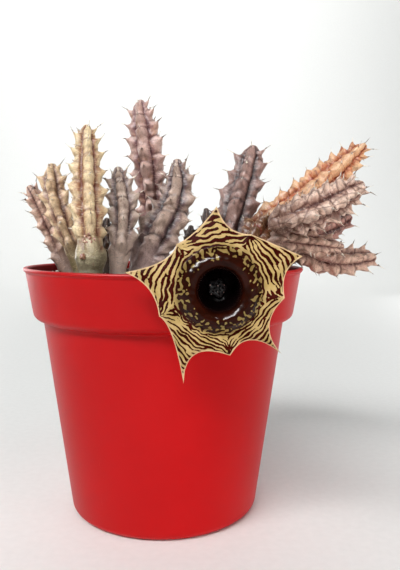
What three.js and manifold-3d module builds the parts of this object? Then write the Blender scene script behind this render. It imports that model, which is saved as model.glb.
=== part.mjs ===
// A potted lifesaver plant: toothed, five-ribbed succulent stems and one striped bloom in a red plastic pot.
// Units are millimetres. +Z is up, the bloom faces -Y, and the origin is the centre of the pot's underside.

import * as THREE from "three";
import { mergeVertices } from "three/addons/utils/BufferGeometryUtils.js";
import Module from "manifold-3d";

const wasm = await Module();
wasm.setup();

// Pot: outer radii and heights
const POT_HEIGHT = 78.8;
const RIM_RADIUS = 45;
const LIP_HEIGHT = 1.2;
const LIP_THICKNESS = 1.3;
const LIP_ROUND = 0.5;
const BAND_TOP_RADIUS = 44.2;
const BAND_FOOT_RADIUS = 42.2;
const BAND_FOOT_Z = 64.6;
const BAND_ROUND = 0.9;
const SHOULDER_RADIUS = 39;
const SHOULDER_Z = 62.4;
const SHOULDER_LEDGE = 1.9;
const BASE_RADIUS = 30.3;
const BASE_CHAMFER = 1.4;
const BASE_INNER_CHAMFER = 1;
const WALL = 1.5;
const FLOOR = 1.8;
const DRAIN_COUNT = 6;
const DRAIN_RADIUS = 3;
const DRAIN_RING_RADIUS = 20;
const DRAIN_SIDES = 8;
const POT_SIDES = 42;
const EASE = 0.3;

// Soil
const GAP = 0.3;
const SOIL_CLEARANCE = 0.1;
const SOIL_BELOW_RIM = 3.3;
const SOIL_MOUND = 0.9;
const SOIL_LUMP = 0.35;
const SOIL_SIDES = 32;
const SOIL_RINGS = 6;
const SOIL_FOOT_CHAMFER = 1.3;
const HOLE_SIDES = 12;
const PEG_DEPTH = 6.5;
const SOIL_Z = POT_HEIGHT - SOIL_BELOW_RIM;

// The level, just below the pot's rim, above which the heights of the plant's parts are given
const LEVEL = 78;

// Stems: the section is a fraction of the path's radius, and the teeth shorten towards the tip
const RIBS = 5;
const SHOULDER_DEPTH = 0.92;
const VALLEY_DEPTH = 0.7;
const CREST_BETWEEN_TEETH = 0.97;
const TOOTH_BASE = 0.8;
const TOOTH_PER_RADIUS = 0.26;
const TOOTH_GROWTH = 3;
const TOOTH_LEAN = 0.3;
const TOOTH_LEAN_AT_TIP = 1.1;
const TOOTH_CROWDING = 1.35;
const TOOTH_FOOT = 0.25;
const TOOTH_HEAD = 0.22;
const VALLEY_POINT = 0.3;
const FIRST_ROW = 0.1;
const LAST_ROW_LEFT = 0.4;
const TIP_ROW = 0.15;
const TIP_RISE = 0.4;
const COLLAR_RISE = 0.5;
const PATH_SAMPLES = 24;
const FRONT = new THREE.Vector3(0, -1, 0);

// Bloom: centre of the ring, and rows of [radius, height] about it, with height towards the viewer
const BLOOM = new THREE.Vector3(13.1, -54.7, LEVEL - 2.3);
const TUBE_AND_RING = [[3.4, -7], [4.4, -5], [4.9, -1.6], [5.3, 0.4], [6.1, 1.6], [7.4, 2.1],
  [8.7, 1.5], [9.7, 0.3], [10.6, -0.7]];
const TUBE_FLOOR = -7;
const BACK_OF_BLOOM = [[10.4, -1.9], [8, -3], [6.2, -5.6], [4.6, -8]];
const BACK_CENTRE = -8.2;
const PETAL_THICKNESS = 1;
const LIMB_ROWS = [0.36, 0.7, 1];
const LIMB_CURL = 1.8;
const EDGE_STEPS = 5;
const EDGE_CURL_EASE = 0.7;

// The bloom's outline: five lobe tips and the five small teeth between them, each with the point that the
// edge to the next corner bends towards, and how far back the edge curls there
const OUTLINE = [
  { corner: [21.3, 8], bend: [12.2, 11.6], back: 5 },
  { corner: [7.6, 13.4], bend: [1.4, 13.4], back: 0.4 },
  { corner: [-0.6, 20.1], bend: [-5.8, 12.9], back: 2.4 },
  { corner: [-10.3, 11], bend: [-11.4, 6.1], back: 0.4 },
  { corner: [-23, 4], bend: [-15.4, 1.4], back: 3.4 },
  { corner: [-14.5, -6.4], bend: [-11, -8.6], back: 0.4 },
  { corner: [-8.4, -24.2], bend: [-8.6, -12.3], back: 5.5 },
  { corner: [2.8, -16.1], bend: [7.2, -8.9], back: 0.4 },
  { corner: [16.6, -16.9], bend: [9.2, -9.1], back: 6 },
  { corner: [16, -2], bend: [14.6, 5], back: 0.4 },
];

// Crown in the tube
const LOBES = 5;
const CORONA_RADIUS = 2.5;
const CORONA_FOOT_RADIUS = 2.3;
const CORONA_THICKNESS = 0.8;
const HORN_RADIUS = 0.55;
const HORN_HEIGHT = 2.2;
const HORN_LEAN = 0.35;
const HORN_PLACE = 1.4;
const HORN_SIDES = 6;
const CORONA_SIDES = 10;

// Flower stalk: from the back of the tube over the pot's lip to the foot of the branched stem
const STALK_RADIUS = 1;
const STALK_SIDES = 8;
const STALK_STEPS = 20;
const STALK_PATH = [[13.1, -45.2, -2.3], [13.1, -45.3, 0.4], [13.3, -44.2, 2.7], [14.3, -41, 3.4],
  [16.6, -34, 2.1], [19.6, -26.8, 0.7], [22.3, -20.6, 0.2]];
const CALYX_RADIUS = 1.9;
const CALYX_FOOT_RADIUS = 1.3;
const CALYX_DEPTH = 1.3;
const SEPAL_LENGTH = 6.5;
const SEPAL_RADIUS = 0.6;
const SEPAL_TURN = 0.35;
const SEPAL_SIDES = 6;

// Stems that stand in the soil. A path's point is [x, y, height above LEVEL, radius between the teeth].
// The foot [x, y, radius] stands straight under the first point. turn is the first rib's angle from the
// front, in degrees, and bare is the length of the stem's lower end that bears no teeth
const STEMS = [
  {
    name: "stem_left_outer", colour: 0x8a6a66, teeth: 6, turn: 22, bare: 5, foot: [-31.2, 1, 2.9],
    path: [[-31.9, 1, 0.3, 3.3], [-34.1, 1, 6, 3.4], [-37, 0, 13.1, 3.2], [-39.7, -1, 19.5, 3],
      [-41.8, -2, 23.9, 2.4], [-43.4, -2, 26.1, 1]],
  },
  {
    name: "stem_left_curved", colour: 0xb39068, teeth: 6, turn: -4, bare: 8, foot: [-25.5, -11, 2.5],
    path: [[-25.9, -11, 0.7, 2.6], [-28.2, -11, 6.8, 2.8], [-30.3, -11, 12.4, 3.1],
      [-32, -11, 17.8, 3.4], [-33.7, -10, 23, 3.7], [-34.4, -9, 27.7, 3.3], [-34.8, -8, 32.4, 1.3]],
  },
  {
    name: "stem_left_tall", colour: 0xc4a273, teeth: 8, turn: 16, bare: 10, foot: [-20.8, -27, 3.3],
    path: [[-20.8, -27, 1, 3.5], [-20.8, -27, 4.4, 4.6], [-21, -27, 7.7, 4], [-21.3, -26, 9.6, 3.3],
      [-21.4, -26, 12.2, 3.8], [-21.8, -25, 16.5, 4.3], [-22.1, -24, 20.7, 4.3],
      [-22.3, -23, 26.5, 4.1], [-22.4, -22, 32.2, 3.7], [-22.6, -21, 36.6, 3.2],
      [-22.6, -20, 40.2, 2.3], [-22.4, -20, 42.2, 1]],
  },
  {
    name: "stem_left_short", colour: 0x4a362e, teeth: 3, turn: 10, bare: 3, foot: [-18.5, 4, 2.1],
    path: [[-18.7, 4, 1.5, 2.3], [-19.3, 4, 7.6, 2.3], [-19.6, 4, 13.3, 2], [-19.2, 4, 16.3, 0.9]],
  },
  {
    name: "stem_centre_slim", colour: 0x8b7a76, teeth: 6, turn: 4, bare: 6, foot: [-13.9, -19, 2.5],
    path: [[-13.9, -19, 1.1, 2.6], [-13.3, -19, 5, 3.1], [-12.7, -19, 9.4, 3.4],
      [-12.4, -18, 15.3, 3.7], [-12.4, -17, 19.8, 3.9], [-13.1, -16, 24.3, 3.5],
      [-13.7, -15, 27.9, 2.6], [-14, -15, 30.9, 1.1]],
  },
  {
    name: "stem_centre_tall", colour: 0x9c7c7a, teeth: 10, turn: -12, bare: 4, foot: [-5.1, 8, 3.3],
    path: [[-5.1, 8, 0.8, 3.4], [-4.4, 8, 7.6, 4.1], [-4, 7, 13.4, 4.1], [-4, 6, 19.4, 4.4],
      [-4.3, 5, 24.4, 4.5], [-4.9, 4, 29.9, 4.7], [-5.6, 3, 35.7, 4.9], [-6.2, 2, 40.4, 4.8],
      [-6.8, 2, 45.2, 4.4], [-7.5, 2, 49, 3.6], [-7.8, 2, 52.2, 2.4], [-7.8, 2, 54.5, 1]],
  },
  {
    name: "stem_centre_broad", colour: 0x8d7b78, teeth: 6, turn: -12, bare: 5, foot: [-7.1, -8, 4.4],
    path: [[-6.8, -8, 0.5, 4.7], [-5.3, -8, 4.7, 5.4], [-2.8, -8, 9.4, 6], [-0.3, -8, 14.1, 6],
      [2.2, -7, 18.9, 5.4], [3.8, -7, 23.6, 4.7], [4.5, -6, 28.4, 4], [4.1, -6, 31.5, 2.8],
      [3.8, -6, 34.6, 1.2]],
  },
  {
    name: "stem_centre_short", colour: 0x4f403d, teeth: 3, turn: 30, bare: 3, foot: [9.2, 22, 2.1],
    path: [[9.2, 22, 1.2, 2.2], [9.2, 22, 7.5, 2.4], [9.2, 22, 11.2, 2], [9.6, 22, 14.4, 0.9]],
  },
  {
    name: "stem_middle_dark", colour: 0x6d5655, teeth: 6, turn: -16, bare: 4, foot: [20.5, 4, 4.9],
    path: [[20.7, 4, 1.6, 5.1], [21.7, 4, 7.8, 5.7], [22.6, 4, 13.5, 5.9], [24, 5, 18.9, 6],
      [25.5, 6, 24, 5.8], [27.3, 7, 29.2, 5.3], [28.7, 8, 34.4, 4.7], [29.9, 9, 38.6, 3.6],
      [30.5, 9, 41.5, 1.4]],
  },
  {
    name: "stem_middle_short", colour: 0x544340, teeth: 3, turn: 0, bare: 4, foot: [17.1, 17, 2.1],
    path: [[17, 17, 1.5, 2.2], [15.8, 17, 9.4, 2.3], [15.1, 17, 16.5, 2], [14.7, 17, 20.4, 0.9]],
  },
  {
    name: "stem_right_branched", colour: 0xb98558, teeth: 11, turn: -18, bare: 7, foot: [23.4, -17.2, 3.4],
    path: [[24, -17, 2.3, 3.6], [26.2, -14, 8, 4], [30.7, -9, 14, 4.3], [36.1, -7, 17.9, 4.3],
      [42.5, -4, 21.9, 4.5], [49.1, -1, 26.4, 4.9], [55, 1, 30.6, 4.9], [60.2, 3, 34.8, 4.1],
      [64.2, 5, 38.5, 3], [66.9, 6, 40.7, 1.9], [68.3, 6, 42, 0.9]],
  },
  {
    name: "stem_right_trailing", colour: 0x97776f, teeth: 7, turn: -18, bare: 5, foot: [37.2, -1, 2.7],
    path: [[37.6, -1, 0.1, 2.9], [39.4, -1, 3, 3.1], [42.4, -1, 5.3, 3.6], [46.3, -2, 5.7, 4.1],
      [51.4, -2, 3.6, 4.7], [57.5, -2, 2.7, 4.5], [62.2, -2, 2.8, 4], [66.2, -2, 3.4, 3.3],
      [68.6, -2, 3.7, 2.3], [70, -2, 4.1, 0.9]],
  },
];

// Branches that grew out of the branched stem's lower half
const BRANCHES = [
  {
    teeth: 7, turn: 12, bare: 2,
    path: [[32.9, -16, 14.5, 2.6], [34.9, -18, 15.3, 3.9], [40.2, -20, 17.1, 5], [45.6, -20, 19.2, 5.3],
      [50.4, -20, 21.6, 5.1], [54.6, -20, 24, 4], [57.6, -20, 25.5, 2.7], [59.1, -20, 26.6, 1.1]],
  },
  {
    teeth: 5, turn: -18, bare: 6,
    path: [[33, -6, 13.6, 2.2], [39.5, 3, 10.2, 2.5], [47.5, 9, 10.3, 2.8], [53.5, 11, 12, 3.2],
      [58.5, 12, 13.8, 3.7], [62, 12, 15.6, 3.3], [64.5, 12, 17.1, 2.3], [65.9, 12, 17.9, 1]],
  },
  {
    teeth: 5, turn: -18, bare: 6,
    path: [[28.4, -13, 9.2, 1.7], [32.8, -13, 9.4, 2], [38.2, -13, 9.6, 2.8], [43.6, -13, 9, 2.9],
      [49, -13, 8.4, 2.7], [52.8, -13, 7.8, 2.1], [55.6, -13, 7.5, 0.9]],
  },
];
const BRANCH_COLLAR = { centre: [36.4, -13.2, 16.6], radius: 3.7 };
const BRANCH_ROOT = 0.4;

// Old flower stalks' scars on the tall left stem: [x, y, height above LEVEL, radius]
const SCARS = [[-22.3, -28.7, 8.6, 1], [-20.3, -29, 8.7, 1], [-21.4, -28.7, 10, 1], [-22.7, -30.2, 5, 1]];
const SCAR_SIDES = 6;
const COLLAR_SIDES = 10;

// Joins vertices that share a place, drops the flat triangles that this leaves, and makes a solid.
function solidOf(geometry) {
  const bare = geometry.clone();
  bare.deleteAttribute("normal");
  bare.deleteAttribute("uv");
  const merged = mergeVertices(bare, 1e-4);
  const corners = [];
  const index = merged.index.array;
  for (let i = 0; i < index.length; i += 3) {
    const [a, b, c] = [index[i], index[i + 1], index[i + 2]];
    if (a !== b && b !== c && c !== a) corners.push(a, b, c);
  }
  return new wasm.Manifold(new wasm.Mesh({
    numProp: 3,
    vertProperties: merged.attributes.position.array,
    triVerts: new Uint32Array(corners),
  }));
}

function geometryOf(solid) {
  const mesh = solid.getMesh();
  const geometry = new THREE.BufferGeometry();
  geometry.setAttribute("position", new THREE.BufferAttribute(new Float32Array(mesh.vertProperties), 3));
  geometry.setIndex(new THREE.BufferAttribute(new Uint32Array(mesh.triVerts), 1));
  geometry.computeVertexNormals();
  return geometry;
}

function geometryFrom(points, triangles) {
  const geometry = new THREE.BufferGeometry();
  const numbers = points.flatMap((p) => [p.x, p.y, p.z]);
  geometry.setAttribute("position", new THREE.Float32BufferAttribute(numbers, 3));
  geometry.setIndex(triangles);
  geometry.computeVertexNormals();
  return geometry;
}

function turned(profile, sides) {
  const lathe = new THREE.LatheGeometry(profile.map(([r, z]) => new THREE.Vector2(r, z)), sides);
  return lathe.rotateX(Math.PI / 2);
}

// An upright cylinder from z = low to z = high that clears a circle of the given radius.
function uprightCylinder(x, y, radius, low, high, sides) {
  const outer = radius / Math.cos(Math.PI / sides);
  const cylinder = new THREE.CylinderGeometry(outer, outer, high - low, sides);
  return cylinder.rotateX(Math.PI / 2).translate(x, y, (low + high) / 2);
}

const lerp = THREE.MathUtils.lerp;
const radians = THREE.MathUtils.degToRad;

function bodyRadiusAt(z) {
  return lerp(BASE_RADIUS, SHOULDER_RADIUS, z / SHOULDER_Z);
}

function potGeometry() {
  const lipFoot = POT_HEIGHT - LIP_HEIGHT;
  const lipInside = RIM_RADIUS - LIP_THICKNESS;
  const baseInside = bodyRadiusAt(FLOOR) - WALL;
  const outside = [
    [0, 0], [BASE_RADIUS - BASE_CHAMFER, 0], [bodyRadiusAt(BASE_CHAMFER), BASE_CHAMFER],
    [SHOULDER_RADIUS, SHOULDER_Z], [SHOULDER_RADIUS + SHOULDER_LEDGE, SHOULDER_Z + EASE],
    [BAND_FOOT_RADIUS - EASE, BAND_FOOT_Z - BAND_ROUND], [BAND_FOOT_RADIUS, BAND_FOOT_Z],
    [BAND_TOP_RADIUS, lipFoot - EASE], [RIM_RADIUS - EASE, lipFoot], [RIM_RADIUS, lipFoot + LIP_ROUND],
    [RIM_RADIUS, POT_HEIGHT - LIP_ROUND], [RIM_RADIUS - LIP_ROUND, POT_HEIGHT],
  ];
  const inside = [
    [lipInside, POT_HEIGHT], [lipInside - EASE, POT_HEIGHT - LIP_ROUND],
    [BAND_TOP_RADIUS - WALL, lipFoot - 2 * EASE], [BAND_FOOT_RADIUS - WALL, BAND_FOOT_Z + EASE],
    [SHOULDER_RADIUS - WALL, SHOULDER_Z - 2 * EASE],
    [baseInside, FLOOR + BASE_INNER_CHAMFER], [baseInside - BASE_INNER_CHAMFER, FLOOR], [0, FLOOR],
  ];
  let pot = solidOf(turned([...outside, ...inside], POT_SIDES));
  for (let i = 0; i < DRAIN_COUNT; i++) {
    const angle = (2 * Math.PI * (i + 0.5)) / DRAIN_COUNT;
    const x = DRAIN_RING_RADIUS * Math.cos(angle);
    const y = DRAIN_RING_RADIUS * Math.sin(angle);
    pot = pot.subtract(solidOf(uprightCylinder(x, y, DRAIN_RADIUS, -1, FLOOR + 1, DRAIN_SIDES)));
  }
  return geometryOf(pot);
}

function soilTopAt(x, y) {
  const r = Math.hypot(x, y) / RIM_RADIUS;
  const small = Math.sin(x * 0.41 + 1) * Math.cos(y * 0.37);
  const large = 0.6 * Math.sin(x * 0.23 - y * 0.31);
  return SOIL_Z + SOIL_MOUND * (1 - r * r) + SOIL_LUMP * (small + large);
}

function soilGeometry() {
  const clear = WALL + GAP + SOIL_CLEARANCE;
  const edge = BAND_TOP_RADIUS - clear - EASE;
  const floor = FLOOR + GAP;
  const foot = bodyRadiusAt(FLOOR) - clear;
  const side = [
    [0, floor], [foot - SOIL_FOOT_CHAMFER, floor], [foot, floor + SOIL_FOOT_CHAMFER],
    [SHOULDER_RADIUS - clear, SHOULDER_Z - EASE], [BAND_FOOT_RADIUS - clear, BAND_FOOT_Z + 2 * EASE],
    [edge, SOIL_Z],
  ];
  const top = Array.from({ length: SOIL_RINGS }, (_, ring) => [edge * (1 - (ring + 1) / SOIL_RINGS), SOIL_Z]);
  const block = turned([...side, ...top], SOIL_SIDES);
  const place = block.attributes.position;
  for (let i = 0; i < place.count; i++) {
    if (place.getZ(i) > SOIL_Z - GAP) place.setZ(i, soilTopAt(place.getX(i), place.getY(i)));
  }
  let soil = solidOf(block);
  for (const { foot: [x, y, radius] } of STEMS) {
    const hole = uprightCylinder(x, y, radius + GAP, SOIL_Z - PEG_DEPTH - GAP, POT_HEIGHT, HOLE_SIDES);
    soil = soil.subtract(solidOf(hole));
  }
  return geometryOf(soil);
}

// A stem's path: a smooth curve through its points with the radius along it, read by its length so far.
function pathOf(points) {
  const centre = new THREE.CatmullRomCurve3(
    points.map(([x, y, above]) => new THREE.Vector3(x, y, LEVEL + above)), false, "catmullrom", 0.5);
  const width = new THREE.CatmullRomCurve3(
    points.map((p) => new THREE.Vector3(p[3], 0, 0)), false, "catmullrom", 0.5);
  const count = PATH_SAMPLES * (points.length - 1);
  const samples = [];
  let length = 0;
  for (let i = 0; i <= count; i++) {
    const place = centre.getPoint(i / count);
    const tangent = centre.getTangent(i / count);
    if (i > 0) length += place.distanceTo(samples[i - 1].place);
    samples.push({ place, radius: width.getPoint(i / count).x, tangent, length });
  }
  const at = (distance) => {
    let i = 1;
    while (i < count && samples[i].length < distance) i++;
    const [before, after] = [samples[i - 1], samples[i]];
    const part = THREE.MathUtils.clamp((distance - before.length) / (after.length - before.length), 0, 1);
    const tangent = before.tangent.clone().lerp(after.tangent, part).normalize();
    const front = FRONT.clone().addScaledVector(tangent, -FRONT.dot(tangent)).normalize();
    return {
      place: before.place.clone().lerp(after.place, part),
      radius: lerp(before.radius, after.radius, part),
      tangent,
      front,
      side: tangent.clone().cross(front),
    };
  };
  return { length, at };
}

// The point at a distance along the path, out from its centre at an angle, and lifted along it.
function pointOn(path, distance, angle, reach, lift) {
  const { place, tangent, front, side } = path.at(distance);
  return place.addScaledVector(front, reach * Math.cos(angle)).addScaledVector(side, reach * Math.sin(angle))
    .addScaledVector(tangent, lift);
}

// How far along the stem a tooth row stands. Rows crowd towards the tip.
function toothPlace(path, row, teeth) {
  const left = Math.max(0, 1 - row / (teeth + TIP_ROW));
  return path.length * (1 - Math.pow(left, TOOTH_CROWDING));
}

// One line of points up the stem: along a rib's crest with its teeth, or along a shoulder or a valley.
function lineUp(path, stem, rib, part) {
  const angle = radians(stem.turn) + ((rib + part) * 2 * Math.PI) / RIBS;
  const line = [];
  const add = (distance, reach, lift) => {
    line.push({ at: distance, point: pointOn(path, distance, angle, reach, lift) });
  };
  const phase = ((2 * rib) % RIBS) / RIBS;
  if (stem.foot) {
    const [x, y, radius] = stem.foot;
    const out = pointOn(path, 0, angle, 1, 0).sub(path.at(0).place).setZ(0).setLength(radius);
    for (const z of [SOIL_Z - PEG_DEPTH, SOIL_Z + SOIL_MOUND + COLLAR_RISE]) {
      line.push({ at: z - LEVEL - PEG_DEPTH, point: new THREE.Vector3(x, y, z).add(out) });
    }
  }
  const depth = part === 0 ? CREST_BETWEEN_TEETH : part === 0.5 ? VALLEY_DEPTH : SHOULDER_DEPTH;
  add(0, path.at(0).radius * lerp(depth, 1, 0.5), 0);
  for (let tooth = 0; tooth < stem.teeth; tooth++) {
    const row = tooth + phase + FIRST_ROW;
    if (row > stem.teeth - LAST_ROW_LEFT) continue;
    const place = toothPlace(path, row, stem.teeth);
    const gap = toothPlace(path, row + 1, stem.teeth) - place;
    if (part === 0) {
      const radius = path.at(place).radius;
      const grown = THREE.MathUtils.smoothstep(place, stem.bare - TOOTH_GROWTH, stem.bare);
      const rise = grown * (TOOTH_BASE + TOOTH_PER_RADIUS * radius);
      const lean = rise * (TOOTH_LEAN + TOOTH_LEAN_AT_TIP * Math.pow(row / stem.teeth, 3));
      const below = place - TOOTH_FOOT * gap;
      const above = place + TOOTH_HEAD * gap;
      if (below > 0) add(below, path.at(below).radius * depth, 0);
      add(place, radius * depth + rise, lean);
      add(above, path.at(above).radius * depth, 0);
    } else {
      const middle = place + VALLEY_POINT * gap;
      add(middle, path.at(middle).radius * depth, 0);
    }
  }
  return line;
}

// Joins two lines of points side by side with triangles, always stepping up the line that lags.
function zip(lower, upper, triangles, left, right) {
  let i = 0;
  let j = 0;
  while (i < left.length - 1 || j < right.length - 1) {
    const stepLeft = j === right.length - 1 || (i < left.length - 1 && left[i + 1].at <= right[j + 1].at);
    if (stepLeft) triangles.push(left[i].index, right[j].index, left[++i].index);
    else triangles.push(left[i].index, right[j].index, right[++j].index);
  }
  triangles.push(left[0].index, lower, right[0].index);
  triangles.push(left[i].index, right[j].index, upper);
}

function stemGeometry(stem) {
  const path = pathOf(stem.path);
  const lines = [];
  for (let rib = 0; rib < RIBS; rib++) {
    for (const part of [0, 0.25, 0.5, 0.75]) lines.push(lineUp(path, stem, rib, part));
  }
  const start = stem.foot
    ? new THREE.Vector3(stem.foot[0], stem.foot[1], SOIL_Z - PEG_DEPTH)
    : pointOn(path, 0, 0, 0, -BRANCH_ROOT * path.at(0).radius);
  const points = [start, pointOn(path, path.length, 0, 0, TIP_RISE)];
  for (const line of lines) {
    for (const entry of line) entry.index = points.push(entry.point) - 1;
  }
  const triangles = [];
  lines.forEach((line, i) => zip(0, 1, triangles, line, lines[(i + 1) % lines.length]));
  return geometryFrom(points, triangles);
}

function ball(x, y, z, radius, sides) {
  return new THREE.SphereGeometry(radius, sides, sides / 2).translate(x, y, z);
}

function branchedGeometry(stem) {
  const [x, y, above] = BRANCH_COLLAR.centre;
  const collar = ball(x, y, LEVEL + above, BRANCH_COLLAR.radius, COLLAR_SIDES);
  let whole = solidOf(stemGeometry(stem)).add(solidOf(collar));
  for (const branch of BRANCHES) whole = whole.add(solidOf(stemGeometry(branch)));
  return geometryOf(whole);
}

function scarredGeometry(stem) {
  let whole = solidOf(stemGeometry(stem));
  for (const [x, y, above, radius] of SCARS) {
    whole = whole.add(solidOf(ball(x, y, LEVEL + above, radius, SCAR_SIDES)));
  }
  return geometryOf(whole);
}

// The bloom's outline as columns: the way out from the ring, a point on the edge and how far back it curls.
// A corner is joined to the ring midway between the bends on its two sides.
function outlineColumns() {
  const columns = [];
  const bends = OUTLINE.map(({ bend }) => new THREE.Vector2(...bend));
  const roots = bends.map((bend, i) => bends.at(i - 1).clone().add(bend).angle());
  OUTLINE.forEach(({ corner, back }, i) => {
    const after = (i + 1) % OUTLINE.length;
    const next = OUTLINE[after];
    const [from, to] = [new THREE.Vector2(...corner), new THREE.Vector2(...next.corner)];
    const edge = new THREE.QuadraticBezierCurve(from, bends[i], to);
    const turn = THREE.MathUtils.euclideanModulo(roots[after] - roots[i], 2 * Math.PI);
    for (let step = 0; step < EDGE_STEPS; step++) {
      const part = step / EDGE_STEPS;
      const fromLobe = Math.pow(part, EDGE_CURL_EASE);
      const towardsLobe = 1 - Math.pow(1 - part, EDGE_CURL_EASE);
      const eased = back > next.back ? fromLobe : towardsLobe;
      const angle = roots[i] + turn * part;
      const out = new THREE.Vector2(Math.cos(angle), Math.sin(angle));
      columns.push({ out, edge: edge.getPoint(part), back: lerp(back, next.back, eased) });
    }
  });
  return columns;
}

function corollaGeometry() {
  const columns = outlineColumns();
  const place = (u, v, height) => new THREE.Vector3(BLOOM.x + u, BLOOM.y - height, BLOOM.z + v);
  const circle = ([radius, height]) => {
    return columns.map(({ out }) => place(radius * out.x, radius * out.y, height));
  };
  const [limbRadius, limbHeight] = TUBE_AND_RING.at(-1);
  const limb = (part, behind) => columns.map(({ out, edge, back }) => {
    const spot = out.clone().multiplyScalar(limbRadius).lerp(edge, part);
    return place(spot.x, spot.y, limbHeight - back * Math.pow(part, LIMB_CURL) - behind);
  });
  const rows = [
    ...TUBE_AND_RING.map(circle),
    ...LIMB_ROWS.map((part) => limb(part, 0)),
    ...LIMB_ROWS.toReversed().map((part) => limb(part, PETAL_THICKNESS)),
    ...BACK_OF_BLOOM.map(circle),
  ];
  const around = columns.length;
  const points = [...rows.flat(), place(0, 0, TUBE_FLOOR), place(0, 0, BACK_CENTRE)];
  const [frontCentre, backCentre] = [points.length - 2, points.length - 1];
  const triangles = [];
  for (let j = 0; j < around; j++) {
    const next = (j + 1) % around;
    triangles.push(frontCentre, j, next);
    for (let i = 0; i < rows.length - 1; i++) {
      const [here, beyond] = [i * around, (i + 1) * around];
      triangles.push(here + j, beyond + j, beyond + next, here + j, beyond + next, here + next);
    }
    const last = (rows.length - 1) * around;
    triangles.push(last + j, backCentre, last + next);
  }
  return geometryFrom(points, triangles);
}

// A five-lobed disc with a short horn on each lobe, on the floor of the tube.
function coronaGeometry() {
  const disc = new THREE.CylinderGeometry(CORONA_RADIUS, CORONA_FOOT_RADIUS, CORONA_THICKNESS, CORONA_SIDES);
  let crown = solidOf(disc.translate(0, CORONA_THICKNESS / 2, 0));
  for (let i = 0; i < LOBES; i++) {
    const horn = new THREE.ConeGeometry(HORN_RADIUS, HORN_HEIGHT, HORN_SIDES);
    horn.translate(0, HORN_HEIGHT / 2, 0).rotateZ(HORN_LEAN);
    horn.translate(HORN_PLACE, CORONA_THICKNESS / 2, 0);
    crown = crown.add(solidOf(horn.rotateY((2 * Math.PI * i) / LOBES)));
  }
  return geometryOf(crown).rotateX(Math.PI).translate(BLOOM.x, BLOOM.y - TUBE_FLOOR - GAP, BLOOM.z);
}

// The stalk, with the five sepals spread behind the bloom's tube.
function stalkGeometry() {
  const path = new THREE.CatmullRomCurve3(
    STALK_PATH.map(([x, y, above]) => new THREE.Vector3(x, y, LEVEL + above)));
  const section = new THREE.Shape();
  section.absarc(0, 0, STALK_RADIUS, 0, 2 * Math.PI);
  const tube = new THREE.ExtrudeGeometry(section, {
    extrudePath: path, steps: STALK_STEPS, curveSegments: STALK_SIDES / 2, bevelEnabled: false,
  });
  const [x, y, above] = STALK_PATH[0];
  const behind = BLOOM.y - BACK_CENTRE + GAP;
  const calyx = new THREE.CylinderGeometry(CALYX_FOOT_RADIUS, CALYX_RADIUS, CALYX_DEPTH, STALK_SIDES);
  let stalk = solidOf(tube).add(solidOf(calyx.translate(x, behind + CALYX_DEPTH / 2, LEVEL + above)));
  for (let i = 0; i < LOBES; i++) {
    const sepal = new THREE.ConeGeometry(SEPAL_RADIUS, SEPAL_LENGTH, SEPAL_SIDES);
    sepal.translate(0, SEPAL_LENGTH / 2, 0).rotateZ(-Math.PI / 2);
    sepal.rotateY((2 * Math.PI * i) / LOBES + SEPAL_TURN);
    stalk = stalk.add(solidOf(sepal.translate(x, behind + SEPAL_RADIUS, LEVEL + above)));
  }
  return geometryOf(stalk);
}

function piece(name, geometry, color, roughness) {
  const mesh = new THREE.Mesh(geometry, new THREE.MeshStandardMaterial({ color, roughness, metalness: 0 }));
  mesh.name = name;
  return mesh;
}

const plant = new THREE.Group();
plant.add(piece("pot", potGeometry(), 0xd2282d, 0.4));
plant.add(piece("soil", soilGeometry(), 0x3b2f27, 0.95));
const special = { stem_right_branched: branchedGeometry, stem_left_tall: scarredGeometry };
for (const stem of STEMS) {
  const make = special[stem.name] ?? stemGeometry;
  plant.add(piece(stem.name, make(stem), stem.colour, 0.7));
}
plant.add(piece("flower_corolla", corollaGeometry(), 0xd7c36e, 0.35));
plant.add(piece("flower_corona", coronaGeometry(), 0x1d0d0f, 0.4));
plant.add(piece("flower_stalk", stalkGeometry(), 0x7c8052, 0.6));

export default plant;
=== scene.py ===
"""A potted lifesaver plant: the fine visual model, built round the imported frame.

The frame is in metres with +Z up, and the bloom faces -Y. Shapes here are worked out in millimetres.
"""

import math
from functools import cache, cached_property
from typing import NamedTuple

import bmesh
import bpy
import numpy as np
from mathutils import Matrix, Vector


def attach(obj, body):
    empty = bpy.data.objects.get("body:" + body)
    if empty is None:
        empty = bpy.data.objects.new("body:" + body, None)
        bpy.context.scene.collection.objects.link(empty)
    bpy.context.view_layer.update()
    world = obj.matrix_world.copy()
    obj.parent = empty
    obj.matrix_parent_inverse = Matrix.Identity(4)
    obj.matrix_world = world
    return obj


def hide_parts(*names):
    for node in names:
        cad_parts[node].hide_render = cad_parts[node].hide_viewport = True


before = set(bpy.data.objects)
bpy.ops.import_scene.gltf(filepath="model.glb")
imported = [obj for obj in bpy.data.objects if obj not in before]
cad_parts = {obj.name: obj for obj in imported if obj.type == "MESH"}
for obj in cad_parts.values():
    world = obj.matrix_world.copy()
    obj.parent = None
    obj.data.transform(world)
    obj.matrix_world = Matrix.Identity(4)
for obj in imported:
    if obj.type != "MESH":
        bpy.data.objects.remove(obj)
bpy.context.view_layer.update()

MM = 0.001
SEED = 7

# Pot and soil, as in the frame, in millimetres
POT_HEIGHT = 78.8
RIM_RADIUS = 45
BASE_RADIUS = 30.3
SHOULDER_RADIUS = 39
SHOULDER_Z = 62.4
WALL = 1.5
FLOOR_Z = 1.8
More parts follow.
